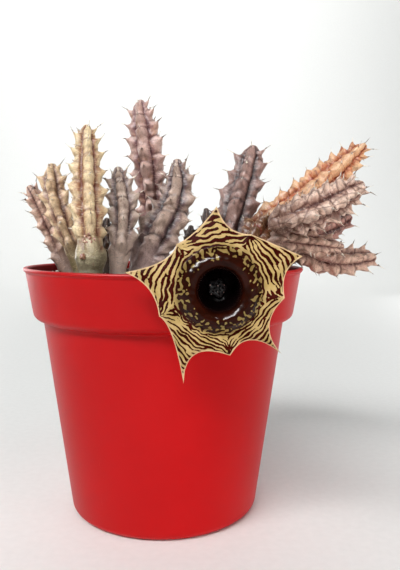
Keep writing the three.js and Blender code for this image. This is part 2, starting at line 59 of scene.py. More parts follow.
# The pot's band leans out by about a sixth of its height. With the lean taken off, the middle of its wall is
# at the radii below. The painted shade on the wall's inside fades in between two heights
BAND_LEAN = 0.164
BAND_MIDDLE = (30.4, 30.75)
INNER_SHADE_FOOT = (63.5, 65)
SOIL_Z = 75.5
SOIL_EDGE = 42.1
SOIL_MOUND = 0.9
SOIL_LUMP = 0.35
PEG_DEPTH = 6.5
POT_SEGMENTS = 160
SOIL_SEGMENTS = 180
SOIL_RINGS = 100
# Kinds of grit: name, number of grains, dark and pale colour, smallest and largest radius
GRAIN_KINDS = [
    ("grit_pale", 90, (186, 176, 156), (240, 236, 226), 0.3, 0.75),
    ("grit_bark", 170, (70, 46, 32), (128, 92, 64), 0.3, 0.9),
    ("grit_stone", 120, (110, 98, 86), (176, 162, 146), 0.25, 0.6),
]
DRAIN_RADIUS = 3
DRAIN_RING_RADIUS = 20
DRAIN_COUNT = 6

# Stems. Heights on the paths of the stems and the stalk are given above LEVEL, just below the pot's lip. Rows
# are counted in teeth of one rib from the stem's lower end, and the last TOP_GAP rows bear none
LEVEL = 78
RIBS = 5
RIB_HALF_TURN = math.pi / RIBS
CREST_DEPTH = 0.97
VALLEY_DEPTH = 0.68
VALLEY_POWER = 3.0
TOOTH_BASE = 0.8
TOOTH_PER_RADIUS = 0.26
TOOTH_CROWDING = 1.35
FIRST_TOOTH = 0.1
TOP_GAP = 0.4
TIP_ROW = 0.15
ROWS_PER_TOOTH = 15
COLUMNS_PER_HALF_RIB = 9
# Rings that round off a stem's tip: part of the last row's reach, and height above the end of the path
TIP_RINGS = ((0.8, 0.16), (0.5, 0.3), (0.2, 0.38))
TIP_HEIGHT = 0.4
# Each stem's markings are read this much further along the noise than the one's before it
SKIN_SHIFT = 40
SKIN, SPINE, SCAR = range(3)

# Bloom: centre of the ring, then rows of [radius, height] about it, with height towards the viewer. OUTLINE
# holds, for the lobes' tips and the teeth between them by turns: the corner, the point that the edge to the
# next corner bends towards, and how far back the corner curls
BLOOM = np.array([13.1, -54.7, 75.7])
TUBE_AND_RING = [[3.4, -7], [4.4, -5], [4.9, -1.6], [5.3, 0.4], [6.1, 1.6], [7.4, 2.1],
                 [8.7, 1.5], [9.7, 0.3], [10.6, -0.7]]
BACK_OF_BLOOM = [[10.4, -1.9], [8, -3], [6.2, -5.6], [4.6, -8]]
BACK_CENTRE = -8.2
LIMB_CURL = 1.8
EDGE_THICKNESS = 0.45
ROOT_THICKNESS = 0.95
SEPAL_LENGTH = 6.4
OUTLINE = [
    ((21.3, 8), (12.2, 11.6), 5), ((7.6, 13.4), (1.4, 13.4), 0.4),
    ((-0.6, 20.1), (-5.8, 12.9), 2.4), ((-10.3, 11), (-11.4, 6.1), 0.4),
    ((-23, 4), (-15.4, 1.4), 3.4), ((-14.5, -6.4), (-11, -8.6), 0.4),
    ((-8.4, -24.2), (-8.6, -12.3), 5.5), ((2.8, -16.1), (7.2, -8.9), 0.4),
    ((16.6, -16.9), (9.2, -9.1), 6), ((16, -2), (14.6, 5), 0.4),
]
# The bloom's markings grow on a square grid in its plane: the grid, the spacing of the stripes, and how
# sharply they point to the lobes' tips
GRID_HALF = 27
GRID_STEP = 0.18
GRID = np.arange(-GRID_HALF, GRID_HALF, GRID_STEP)
NARROW_STRIPES = 0.88
WIDE_STRIPES = 1.42
CHEVRON = 0.4
# The corona's outer and inner horns: radius of the root, height, and how far the tip leans out
HORNS = ((1.4, 2.4, 0.35), (0.8, 1.5, -0.4))

# The flower stalk's path from the bloom over the rim to the branched stem: [x, y, height above LEVEL]
STALK_PATH = [[13.1, -45.2, -2.3], [13.1, -45.3, 0.4], [13.3, -44.2, 2.7], [14.3, -41, 3.4],
              [16.6, -34, 2.1], [19.6, -26.8, 0.7], [22.3, -20.6, 0.2]]


class Look(NamedTuple):
    """A stem's look: sRGB colours, how strong its markings are, its spines' length and its slot.

    The folds are a scale, the knobs a part of the radius, the plates the strength of the cracks between them,
    and the foot's colour fades out between two distances along the stem."""

    crest: tuple
    flank: tuple
    valley: tuple
    foot: tuple
    blotch: tuple
    blotches: float = 0.6
    creases: float = 0.9
    folds: float = 0.9
    knobs: float = 0.05
    plates: float = 0.12
    spine: float = 1.8
    foot_start: float = 2
    foot_end: float = 13
    slot: str = "stem_mauve"


LOOKS = {
    "mauve": Look((226, 190, 168), (180, 138, 122), (88, 54, 50), (164, 136, 122), (112, 62, 60),
                  blotches=0.55, spine=1.7),
    "tan": Look((240, 216, 174), (176, 134, 98), (116, 64, 48), (150, 142, 114), (136, 76, 52),
                folds=0.8, knobs=0.045, spine=1.7, slot="stem_tan"),
    "olive_tan": Look((240, 208, 168), (168, 128, 100), (96, 58, 52), (134, 120, 84), (122, 70, 58),
                      creases=0.8, knobs=0.045, spine=1.6, slot="stem_tan"),
    "taupe": Look((200, 178, 162), (134, 108, 102), (64, 46, 44), (222, 196, 180), (100, 70, 64),
                  blotches=0.5),
    "pink": Look((214, 180, 168), (160, 120, 116), (98, 60, 64), (232, 200, 190), (196, 148, 116),
                 folds=1.0, knobs=0.06, spine=2.0),
    "broad": Look((196, 170, 154), (112, 86, 86), (46, 32, 34), (206, 178, 172), (98, 68, 70),
                  blotches=0.5, folds=0.8),
    "dark": Look((180, 146, 136), (118, 86, 80), (42, 26, 28), (90, 66, 62), (74, 48, 48),
                 blotches=0.5, creases=0.8, spine=2.4, slot="stem_dark"),
    # Painted shade: the short stems at the back are given darker colours
    "shade": Look((112, 88, 76), (80, 60, 50), (38, 27, 24), (88, 68, 52), (58, 40, 34),
                  blotches=0.4, creases=0.6, spine=1.5, slot="stem_dark"),
    # The orange stem's dark foot reaches far up: a painted shadow of the front branch
    "orange": Look((238, 192, 150), (208, 134, 90), (138, 60, 38), (88, 50, 22), (182, 88, 52), blotches=0.85,
                   creases=0.8, knobs=0.1, spine=1.6, foot_start=13, foot_end=24, slot="stem_orange"),
    "scaly": Look((238, 206, 186), (184, 144, 128), (92, 52, 46), (148, 116, 102), (106, 66, 60),
                  blotches=0.65, creases=1.2, folds=1.3, knobs=0.1, plates=0.6),
    "red": Look((200, 152, 138), (140, 92, 82), (62, 28, 26), (124, 84, 72), (92, 44, 40),
                creases=0.8, knobs=0.08, plates=0.5, slot="stem_dark"),
}

# Every stem: name, look, number of tooth rows, first rib's turn from the front in degrees, bare length at the
# lower end, foot [x, y, radius], and the path's points [x, y, height above LEVEL, radius between the teeth].
# The three branches belong to the branched stem and have no foot
STEMS = [
    ("stem_left_outer", "mauve", 6, 22, 5, (-31.2, 1, 2.9),
     [[-31.9, 1, 0.3, 3.3], [-34.1, 1, 6, 3.4], [-37, 0, 13.1, 3.2], [-39.7, -1, 19.5, 3],
      [-41.8, -2, 23.9, 2.4], [-43.4, -2, 26.1, 1]]),
    ("stem_left_curved", "olive_tan", 6, -4, 8, (-25.5, -11, 2.5),
     [[-25.9, -11, 0.7, 2.6], [-28.2, -11, 6.8, 2.8], [-30.3, -11, 12.4, 3.1], [-32, -11, 17.8, 3.4],
      [-33.7, -10, 23, 3.7], [-34.4, -9, 27.7, 3.3], [-34.8, -8, 32.4, 1.3]]),
    ("stem_left_tall", "tan", 8, 16, 10, (-20.8, -27, 3.3),
     [[-20.8, -27, 1, 3.5], [-20.8, -27, 4.4, 4.6], [-21, -27, 7.7, 4], [-21.3, -26, 9.6, 3.3],
      [-21.4, -26, 12.2, 3.8], [-21.8, -25, 16.5, 4.3], [-22.1, -24, 20.7, 4.3], [-22.3, -23, 26.5, 4.1],
      [-22.4, -22, 32.2, 3.7], [-22.6, -21, 36.6, 3.2], [-22.6, -20, 40.2, 2.3], [-22.4, -20, 42.2, 1]]),
    ("stem_left_short", "shade", 3, 10, 3, (-18.5, 4, 2.1),
     [[-18.7, 4, 1.5, 2.3], [-19.3, 4, 7.6, 2.3], [-19.6, 4, 13.3, 2], [-19.2, 4, 16.3, 0.9]]),
    ("stem_centre_slim", "taupe", 6, 4, 6, (-13.9, -19, 2.5),
     [[-13.9, -19, 1.1, 2.6], [-13.3, -19, 5, 3.1], [-12.7, -19, 9.4, 3.4], [-12.4, -18, 15.3, 3.7],
      [-12.4, -17, 19.8, 3.9], [-13.1, -16, 24.3, 3.5], [-13.7, -15, 27.9, 2.6], [-14, -15, 30.9, 1.1]]),
    ("stem_centre_tall", "pink", 10, -12, 4, (-5.1, 8, 3.3),
     [[-5.1, 8, 0.8, 3.4], [-4.4, 8, 7.6, 4.1], [-4, 7, 13.4, 4.1], [-4, 6, 19.4, 4.4], [-4.3, 5, 24.4, 4.5],
      [-4.9, 4, 29.9, 4.7], [-5.6, 3, 35.7, 4.9], [-6.2, 2, 40.4, 4.8], [-6.8, 2, 45.2, 4.4],
      [-7.5, 2, 49, 3.6], [-7.8, 2, 52.2, 2.4], [-7.8, 2, 54.5, 1]]),
    ("stem_centre_broad", "broad", 6, -12, 5, (-7.1, -8, 4.4),
     [[-6.8, -8, 0.5, 4.7], [-5.3, -8, 4.7, 5.4], [-2.8, -8, 9.4, 6], [-0.3, -8, 14.1, 6],
      [2.2, -7, 18.9, 5.4], [3.8, -7, 23.6, 4.7], [4.5, -6, 28.4, 4], [4.1, -6, 31.5, 2.8],
      [3.8, -6, 34.6, 1.2]]),
    ("stem_centre_short", "shade", 3, 30, 3, (9.2, 22, 2.1),
     [[9.2, 22, 1.2, 2.2], [9.2, 22, 7.5, 2.4], [9.2, 22, 11.2, 2], [9.6, 22, 14.4, 0.9]]),
    ("stem_middle_dark", "dark", 6, -16, 4, (20.5, 4, 4.9),
     [[20.7, 4, 1.6, 5.1], [21.7, 4, 7.8, 5.7], [22.6, 4, 13.5, 5.9], [24, 5, 18.9, 6], [25.5, 6, 24, 5.8],
      [27.3, 7, 29.2, 5.3], [28.7, 8, 34.4, 4.7], [29.9, 9, 38.6, 3.6], [30.5, 9, 41.5, 1.4]]),
    ("stem_middle_short", "shade", 3, 0, 4, (17.1, 17, 2.1),
     [[17, 17, 1.5, 2.2], [15.8, 17, 9.4, 2.3], [15.1, 17, 16.5, 2], [14.7, 17, 20.4, 0.9]]),
    ("stem_right_branched", "orange", 11, -18, 7, (23.4, -17.2, 3.4),
     [[24, -17, 2.3, 3.6], [26.2, -14, 8, 4], [30.7, -9, 14, 4.3], [36.1, -7, 17.9, 4.3],
      [42.5, -4, 21.9, 4.5], [49.1, -1, 26.4, 4.9], [55, 1, 30.6, 4.9], [60.2, 3, 34.8, 4.1],
      [64.2, 5, 38.5, 3], [66.9, 6, 40.7, 1.9], [68.3, 6, 42, 0.9]]),
    ("stem_right_trailing", "mauve", 7, -18, 5, (37.2, -1, 2.7),
     [[37.6, -1, 0.1, 2.9], [39.4, -1, 3, 3.1], [42.4, -1, 5.3, 3.6], [46.3, -2, 5.7, 4.1],
      [51.4, -2, 3.6, 4.7], [57.5, -2, 2.7, 4.5], [62.2, -2, 2.8, 4], [66.2, -2, 3.4, 3.3],
      [68.6, -2, 3.7, 2.3], [70, -2, 4.1, 0.9]]),
    ("branch_front", "scaly", 7, 12, 2, None,
     [[32.9, -16, 14.5, 2.6], [34.9, -18, 15.3, 3.9], [40.2, -20, 17.1, 5], [45.6, -20, 19.2, 5.3],
      [50.4, -20, 21.6, 5.1], [54.6, -20, 24, 4], [57.6, -20, 25.5, 2.7], [59.1, -20, 26.6, 1.1]]),
    ("branch_back", "red", 5, -18, 6, None,
     [[33, -6, 13.6, 2.2], [39.5, 3, 10.2, 2.5], [47.5, 9, 10.3, 2.8], [53.5, 11, 12, 3.2],
      [58.5, 12, 13.8, 3.7], [62, 12, 15.6, 3.3], [64.5, 12, 17.1, 2.3], [65.9, 12, 17.9, 1]]),
    ("branch_low", "mauve", 5, -18, 6, None,
     [[28.4, -13, 9.2, 1.7], [32.8, -13, 9.4, 2], [38.2, -13, 9.6, 2.8], [43.6, -13, 9, 2.9],
      [49, -13, 8.4, 2.7], [52.8, -13, 7.8, 2.1], [55.6, -13, 7.5, 0.9]]),
]
BRANCHED = "stem_right_branched"
# A swelling joins the branches to their stem, and old flower stalks left scars on another: places and radii
COLLAR = ((36.4, -13.2, 94.6), 3.7)
SCARRED = "stem_left_tall"
SCARS = [(-21.4, -30, 86.6, 0.8), (-20.3, -30.2, 86.9, 0.6), (-22.4, -29.6, 87.2, 0.6),
         (-19.5, -29.6, 87.5, 0.6), (-20.7, -30.1, 87.9, 0.65), (-21.8, -29.7, 88.3, 0.55),
         (-20.9, -29.9, 89, 0.45), (-22.5, -31.2, 82.9, 0.8)]


def linear(colour):
    """A linear colour with alpha from a triple of sRGB bytes. Anything else comes back as it is."""
    if not isinstance(colour, tuple) or len(colour) != 3:
        return colour
    parts = [c / 255 for c in colour]
    return (*(p / 12.92 if p < 0.04 else ((p + 0.055) / 1.055) ** 2.4 for p in parts), 1.0)


def tinted(colour, factors):
    """A linear colour from sRGB bytes, each channel times its factor."""
    return (*(min(1, c * factor) for c, factor in zip(linear(colour), factors)), 1)


def ring_angles(count):
    return 2 * math.pi * np.arange(count) / count


def unit(vectors):
    return vectors / np.linalg.norm(vectors, axis=-1, keepdims=True)


def smoothstep(low, high, value):
    part = np.clip((np.asarray(value, float) - low) / (high - low), 0, 1)
    return part * part * (3 - 2 * part)


class Waves:
    """Smooth seeded noise round 0, mostly from -1 to 1: a sum of plane waves of about the given length."""

    def __init__(self, seed, length, count=28):
        rng = np.random.default_rng(SEED * 1000 + seed)
        turn = unit(rng.normal(size=(count, 3)))
        self.waves = turn * (2 * math.pi / length) * rng.uniform(0.6, 1.6, (count, 1))
        self.phases = rng.uniform(0, 2 * math.pi, count)
        self.scale = 1 / math.sqrt(count)

    def at(self, points):
        return np.sin(np.asarray(points) @ self.waves.T + self.phases).sum(-1) * self.scale


# Markings of the bloom

def grid_waves():
    """The grid's wave numbers, for the spectrum of a real field."""
    return np.fft.rfftfreq(len(GRID), GRID_STEP)[None, :], np.fft.fftfreq(len(GRID), GRID_STEP)[:, None]


def grid_noise(seed, length, spread=0.45):
    """Seeded noise on the grid whose waves have about the given length."""
    along_u, along_v = grid_waves()
    keep = np.exp(-((np.hypot(along_u, along_v) * length - 1) / spread) ** 2)
    field = np.random.default_rng(SEED * 10 + seed).normal(size=(len(GRID), len(GRID)))
    field = np.fft.irfft2(np.fft.rfft2(field) * keep, s=field.shape)
    return field / field.std()


def read_grid(field, u, v):
    """The field at any points of the plane, blended from the four grid points round each."""
    column = np.clip((u + GRID_HALF) / GRID_STEP, 0, len(GRID) - 1.001)
    row = np.clip((v + GRID_HALF) / GRID_STEP, 0, len(GRID) - 1.001)
    left, low = column.astype(int), row.astype(int)
    right, up = column - left, row - low
    lower = field[low, left] * (1 - right) + field[low, left + 1] * right
    upper = field[low + 1, left] * (1 - right) + field[low + 1, left + 1] * right
    return lower * (1 - up) + upper * up


def stripe_bearings(u, v):
    """The direction across the stripes: rings round the tube, and arcs from tooth to tooth on the lobes."""
    theta = np.arctan2(v, u)
    corners = np.array([corner for corner, _, _ in OUTLINE], float)
    across = np.zeros_like(u)
    for lobe in range(5):
        before, tip, after = corners[2 * lobe - 1], corners[2 * lobe], corners[2 * lobe + 1]
        axis = unit(tip)

        def place(a, b):
            off = b * axis[0] - a * axis[1]
            return a * axis[0] + b * axis[1] + CHEVRON * np.sqrt(off * off + 1.2) + 1j * off
        arcs = (place(u, v) - place(*before)) / (place(u, v) - place(*after))
        arcs /= np.abs(arcs)
        slope_v, slope_u = ((step * arcs.conj()).imag for step in np.gradient(arcs))
        start = math.atan2(before[1], before[0])
        width = (math.atan2(after[1], after[0]) - start) % (2 * math.pi)
        here = (theta - start) % (2 * math.pi) < width
        across[here] = np.arctan2(slope_v, slope_u)[here]
    blend = smoothstep(10.9, 12.8, np.hypot(u, v))
    return np.angle((1 - blend) * np.exp(2j * theta) + blend * np.exp(2j * across)) / 2


def grown_stripes(bearings, spacing, rounds=5, turns=20, sizes=6):
    """Stripes with forks and ends that grow out of noise. Each round keeps, at every grid point, the waves of
    about the spacing and the bearing there, and pushes what is left towards full light or full dark."""
    along_u, along_v = grid_waves()
    turn = np.round(bearings / math.pi * turns).astype(int) % turns
    lengths = np.geomspace(spacing.min(), spacing.max(), sizes)
    nearest = np.abs(np.log(spacing[..., None] / lengths)).argmin(-1)
    field = np.random.default_rng(SEED * 10 + 1).normal(size=spacing.shape)
    for _ in range(rounds):
        spectrum = np.fft.rfft2(field)
        grown = np.zeros_like(field)
        for size, length in enumerate(lengths):
            for step in range(turns):
                chosen = (nearest == size) & (turn == step)
                angle = math.pi * step / turns
                ahead = np.abs(along_u * math.cos(angle) + along_v * math.sin(angle)) * length
                beside = (along_v * math.cos(angle) - along_u * math.sin(angle)) * length
                keep = np.exp(-((ahead - 1) / 0.38) ** 2 - (beside / 0.22) ** 2)
                grown[chosen] = np.fft.irfft2(spectrum * keep, s=field.shape)[chosen]
        field = np.tanh(1.3 * grown / np.abs(grown).mean())
    return field


def bloom_markings():
    """The markings on the grid, dark above 0: blotches on the ring that run into stripes on the limb."""
    u, v = np.meshgrid(GRID, GRID)
    radius = np.hypot(u, v)
    corners = [corner for corner, _, _ in OUTLINE]
    to_tip, to_tooth = (np.min([np.hypot(u - x, v - y) for x, y in corners[first::2]], 0) for first in (0, 1))

    # The stripes lie widest apart out on the limb, and closer near the ring, teeth and tips, and low down
    wide = smoothstep(10.8, 13.5, radius) * smoothstep(1.5, 6, to_tooth)
    wide *= 1 - 0.3 * smoothstep(6, 1, to_tip)
    spacing = NARROW_STRIPES + (WIDE_STRIPES - NARROW_STRIPES) * wide
    spacing *= 1 - 0.25 * smoothstep(-0.2, -0.6, v / np.maximum(radius, 1))

    # Blotches merge towards the tube, and both blotches and stripes wander a little
    sway = grid_noise(2, 5)
    stripes = grown_stripes(stripe_bearings(u, v), spacing) + 0.35 * sway
    ring_share = np.interp(radius - 0.6 * sway, [6.4, 7.4, 8.6, 9.8, 10.6], [1.6, 0.85, 0.35, 0.12, 0.05])
    ring = 0.6 * grid_noise(3, 1.55, 0.6) + ring_share
    onto_limb = smoothstep(10, 11, radius + 0.3 * sway)
    field = ring + (stripes - ring) * onto_limb
    field = read_grid(field, u + 0.12 * grid_noise(4, 3.2), v + 0.12 * grid_noise(5, 3.2))
    return field + 0.05 + 0.14 * grid_noise(6, 0.9)


# Meshes

def add_object(name, data):
    added = bpy.data.objects.new(name, data)
    bpy.context.scene.collection.objects.link(added)
    return added


def smooth_mesh(name, points, faces):
    mesh = bpy.data.meshes.new(name)
    mesh.from_pydata(points, [], faces)
    mesh.validate()
    mesh.polygons.foreach_set("use_smooth", [True] * len(mesh.polygons))
    return mesh


def new_piece(name, points_mm, faces, node, slot, materials, face_materials=None, attributes=None):
    """A smooth-shaded piece from points in millimetres, riding on the root and standing for a node."""
    mesh = smooth_mesh(name, (np.asarray(points_mm) * MM).tolist(), faces)
    for material in materials:
        mesh.materials.append(material)
    if face_materials is not None:
        mesh.polygons.foreach_set("material_index", face_materials)
    for key, values in (attributes or {}).items():
        values = np.asarray(values, np.float32)
        kind, field = ("FLOAT", "value") if values.ndim == 1 else ("FLOAT_VECTOR", "vector")
        mesh.attributes.new(key, kind, "POINT").data.foreach_set(field, values.ravel())
    piece = add_object(name, mesh)
    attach(piece, "root")
    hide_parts(node)
    return piece


def grid_faces(rows, columns):
    """Quads of a grid of points, row by row, that closes on itself round its columns."""
    faces = []
    for here in range(0, (rows - 1) * columns, columns):
        for column in range(columns):
            beside = (column + 1) % columns
            faces.append((here + column, here + beside, here + columns + beside, here + columns + column))
    return faces


def closed_mesh(grid, start, end):
    """Points and faces of rows of points round a shape, closed by a fan to a point at each end."""
    rows, columns = grid.shape[:2]
    points = np.vstack([grid.reshape(-1, 3), start, end])
    faces = grid_faces(rows, columns)
    faces += [(len(points) - 2, (i + 1) % columns, i) for i in range(columns)]
    last = (rows - 1) * columns
    faces += [(last + i, last + (i + 1) % columns, len(points) - 1) for i in range(columns)]
    return points, faces


def lathe(profile, segments):
    """The mesh of a profile [radius, z] turned round Z, from a point on the axis to another."""
    angles = ring_angles(segments)
    ring = np.stack([np.cos(angles), np.sin(angles)], -1)
    rows = [np.column_stack([ring * r, np.full(segments, z)]) for r, z in profile[1:-1]]
    return closed_mesh(np.array(rows), [0, 0, profile[0][1]], [0, 0, profile[-1][1]])


def tube_mesh(centres, radii, sides):
    """A closed tube along points, each ring square to the way ahead."""
    centres = np.asarray(centres, float)
    ahead = unit(np.gradient(centres, axis=0))
    across = unit(np.cross(ahead, [0.2, 0.1, 1]))
    other = np.cross(ahead, across)
    angles = ring_angles(sides)[:, None]
    rings = across[:, None] * np.cos(angles) + other[:, None] * np.sin(angles)
    grid = centres[:, None] + np.asarray(radii)[:, None, None] * rings
    return closed_mesh(grid, centres[0], centres[-1])


def merged(parts):
    """One list of points and faces from several."""
    points, faces, base = [], [], 0
    for more, more_faces in parts:
        points.append(more)
        faces += [tuple(base + i for i in face) for face in more_faces]
        base += len(more)
    return np.concatenate(points), faces


def spline(points, per_span):
    """Points and directions on a uniform Catmull-Rom curve, with its ends reflected."""
    points = np.asarray(points, float)
    padded = np.vstack([2 * points[0] - points[1], points, 2 * points[-1] - points[-2]])
    steps = np.arange((len(points) - 1) * per_span + 1)
    span = np.minimum(steps // per_span, len(points) - 2)
    before, start, end, after = (padded[span + i] for i in range(4))
    t = ((steps - span * per_span) / per_span)[:, None]
    t0, t1 = (end - before) / 2, (after - start) / 2
    square, cube = 3 * (end - start) - 2 * t0 - t1, 2 * (start - end) + t0 + t1
    return start + t0 * t + square * t ** 2 + cube * t ** 3, t0 + 2 * square * t + 3 * cube * t ** 2


def ball_mesh(centre, radius, waves, detail, roughness, stretch=(1, 1, 1)):
    """Points and triangles of a lumpy ball."""
    shape = bmesh.new()
    bmesh.ops.create_icosphere(shape, subdivisions=detail, radius=1)
    points = np.array([v.co[:] for v in shape.verts])
    faces = [tuple(v.index for v in f.verts) for f in shape.faces]
    shape.free()
    swell = 1 + roughness * waves.at(points * 3 + np.asarray(centre))
    return np.asarray(centre) + points * swell[:, None] * radius * np.asarray(stretch), faces


class Path:
    """A stem's centre line with its radius and its frame, read by the length so far."""

    def __init__(self, points):
        points = np.asarray(points, float) + [0, 0, LEVEL, 0]
        places, slopes = spline(points, 24)
        self.places, self.radii = places[:, :3], places[:, 3]
        self.tangents = unit(slopes[:, :3])
        steps = np.linalg.norm(np.diff(self.places, axis=0), axis=1)
        self.lengths = np.concatenate([[0], np.cumsum(steps)])
        self.length = self.lengths[-1]

    def read(self, values, distance):
        if values.ndim == 1:
            return np.interp(distance, self.lengths, values)
        return np.stack([np.interp(distance, self.lengths, column) for column in values.T], -1)

    def at(self, distance):
        place, radius = self.read(self.places, distance), self.read(self.radii, distance)
        tangent = unit(self.read(self.tangents, distance))
        front = unit(np.array([0, -1.0, 0]) + tangent * tangent[..., 1:2])
        return place, radius, tangent, front, np.cross(tangent, front)


def spine_mesh(base, direction, bend, length, thick):
    """A thin curved cone with five sides."""
    direction = unit(direction)
    across = unit(np.cross(direction, [0.3, 0.5, 0.8]))
    other = np.cross(direction, across)
    points = []
    for step, width in enumerate((1, 0.62, 0.3)):
        part = step / 3
        centre = base + direction * length * part + bend * part * part
        for angle in ring_angles(5):
            points.append(centre + thick * width * (across * math.cos(angle) + other * math.sin(angle)))
    points.append(base + direction * length + bend)
    return np.array(points), grid_faces(3, 5) + [(10 + side, 10 + (side + 1) % 5, 15) for side in range(5)]


def read_off(points, ridge, along, shift=0):
    """What a stem's material reads at points off its grid: ridge, tooth, crease, along and place."""
    same = np.broadcast_to([ridge, 0, 0, along], (*points.shape[:-1], 4))
    return np.concatenate([same, points + [0, 0, shift]], -1)


class Stem:
    """A stem's skin: rows of points along its path, in columns that lie closer towards the ribs' crests."""

    def __init__(self, number, look, teeth, turn, bare, points):
        self.number, self.look, self.teeth, self.bare = number, look, teeth, bare
        self.turn, self.path = math.radians(turn), Path(points)
        self.rng = np.random.default_rng(SEED * 100 + number)
        self.wrinkles = Waves(number + 50, 1.4)
        last = int((teeth + TIP_ROW - FIRST_TOOTH) * ROWS_PER_TOOTH)
        between = FIRST_TOOTH + np.arange(last + 1) / ROWS_PER_TOOTH
        rows = np.concatenate([[0, FIRST_TOOTH / 2], between, [teeth + TIP_ROW]])
        self.distance = self.place_of(rows)[:, None]
        half = np.linspace(0, 1, COLUMNS_PER_HALF_RIB + 1) ** 1.35 * RIB_HALF_TURN
        offsets = np.concatenate([-half[:0:-1], half[:-1]])
        self.rib, self.offset = np.repeat(np.arange(RIBS), len(offsets)), np.tile(offsets, RIBS)
        self.from_crest = np.abs(self.offset) / RIB_HALF_TURN
        self.centre, radius, self.tangent, self.front, self.side = self.path.at(self.distance[:, 0])
        self.radius = radius[:, None]
        self.fullness = smoothstep(0.3 * bare, bare + 4, self.distance)
        section = CREST_DEPTH - (CREST_DEPTH - VALLEY_DEPTH) * self.from_crest ** VALLEY_POWER
        section = CREST_DEPTH + (section - CREST_DEPTH) * (0.15 + 0.85 * self.fullness)
        self.reach = self.radius * section
        self.lift, self.tooth, self.crease = (np.zeros_like(self.reach) for _ in range(3))
        self.tips = []

    def place_of(self, row):
        part = np.maximum(0, 1 - row / (self.teeth + TIP_ROW))
        return self.path.length * (1 - part ** TOOTH_CROWDING)

    def grow_tooth(self, rib, row):
        """Raise one tooth on a rib, with two creases that run round the stem above it."""
        mine = self.rib == rib
        offset, from_crest = self.offset[mine], self.from_crest[mine]
        spot = self.place_of(row)
        gap = self.place_of(row + 1) - spot
        here = float(np.interp(spot, self.path.lengths, self.path.radii))
        grown = float(smoothstep(self.bare - 3, self.bare, spot))
        rise = grown * (TOOTH_BASE + TOOTH_PER_RADIUS * here) * self.rng.uniform(0.88, 1.08)
        lean = rise * (0.3 + 1.1 * (row / self.teeth) ** 3)
        along = self.distance - spot
        along = np.where(along < 0, -along / (0.5 * gap), along / (0.36 * gap))
        away = np.hypot(along, self.radius * np.sin(np.abs(offset)) / (0.9 + 0.34 * here))
        cusp = np.maximum(0, 1 - away) ** 2
        swell = np.maximum(0, 1 - (away / 1.5) ** 2) ** 2
        self.reach[:, mine] += rise * (0.8 * cusp + 0.2 * swell) + 0.03 * here * grown * swell
        self.lift[:, mine] += lean * cusp
        self.tooth[:, mine] = np.maximum(self.tooth[:, mine], cusp * grown)
        slant = self.rng.uniform(-0.12, 0.12)
        for part, strength in ((0.4, self.rng.uniform(0.4, 1)), (0.75, self.rng.uniform(0, 0.7))):
            bent = spot + gap * (part - 0.22 * from_crest ** 2 + slant * offset / RIB_HALF_TURN)
            groove = np.exp(-((self.distance - bent) / (0.05 * gap + 0.12)) ** 2)
            groove *= 1 - smoothstep(0.8, 1, from_crest)
            if spot > 1.5:
                self.crease[:, mine] = np.maximum(self.crease[:, mine], groove * strength)
        if grown > 0.3:
            self.tips.append((rib, spot, here * CREST_DEPTH + rise, lean, grown))

    def skin(self):
        """The points with their creases, lumps, knobs and wrinkles, and what the material reads there."""
        angle = self.turn + self.rib * 2 * RIB_HALF_TURN + self.offset
        reach = self.reach - 0.085 * self.radius * self.crease * self.look.creases
        place = np.stack(np.broadcast_arrays(self.radius * np.cos(angle), self.radius * np.sin(angle),
                                             self.distance + SKIN_SHIFT * self.number), -1)
        lumps, knobs = Waves(self.number, 5), Waves(self.number + 25, 2.6)
        folds = np.maximum(0, 0.5 - np.abs(self.wrinkles.at(place * [1, 1, 0.5]))) * 2
        rough = 0.04 * lumps.at(place) + self.look.knobs * knobs.at(place) - 0.03 * folds
        reach += self.radius * rough * (1 - self.tooth) * (0.35 + 0.65 * self.fullness)
        out = self.front[:, None] * np.cos(angle)[:, None] + self.side[:, None] * np.sin(angle)[:, None]
        grid = self.centre[:, None] + out * reach[..., None] + self.tangent[:, None] * self.lift[..., None]
        read = np.broadcast_arrays(1 - self.from_crest ** 2.2, self.tooth, self.crease, self.distance)
        return grid, np.concatenate([np.stack(read, -1), place], -1)

    def spines(self):
        """A hooked spine on each tooth's tip, with a callus at the root of most."""
        parts, rng = [], self.rng
        for rib, spot, out_to, lean, grown in self.tips:
            place, _, direction, ahead, beside = (value[0] for value in self.path.at(np.array([spot])))
            around = self.turn + rib * 2 * RIB_HALF_TURN
            outward = ahead * math.cos(around) + beside * math.sin(around)
            tip = place + outward * (out_to - 0.25) + direction * lean * 0.88
            way = outward + direction * (lean / out_to * 1.5 + rng.uniform(-0.15, 0.35))
            way = way + rng.normal(size=3) * 0.12
            length = self.look.spine * rng.uniform(0.7, 1.15) * (0.5 + 0.5 * grown)
            length *= 1 + 0.6 * float(smoothstep(0.7, 1, spot / self.path.length))
            bend = direction * rng.uniform(-0.2, 0.7) + rng.normal(size=3) * 0.2
            parts.append((*spine_mesh(tip, way, bend, length, rng.uniform(0.18, 0.26)), SPINE))
            if rng.uniform() < 0.6:
                parts.append((*ball_mesh(tip, rng.uniform(0.26, 0.42) * grown, self.wrinkles, 1, 0.3), SPINE))
        return parts


def stem_foot(stem, first_row, foot):
    """The rings of the buried foot and the point that closes it. A branch has no foot, only the point."""
    if not foot:
        return np.empty((0, *first_row.shape)), stem.centre[0] - stem.tangent[0] * 0.4 * stem.radius[0]
    x, y, radius = foot
    flat = unit((first_row - stem.centre[0]) * [1, 1, 0])
    heights = (SOIL_Z - PEG_DEPTH, SOIL_Z - 1.5, SOIL_Z + 1.4)
    return np.array([np.array([x, y, z]) + flat * radius for z in heights]), np.array([x, y, heights[0]])


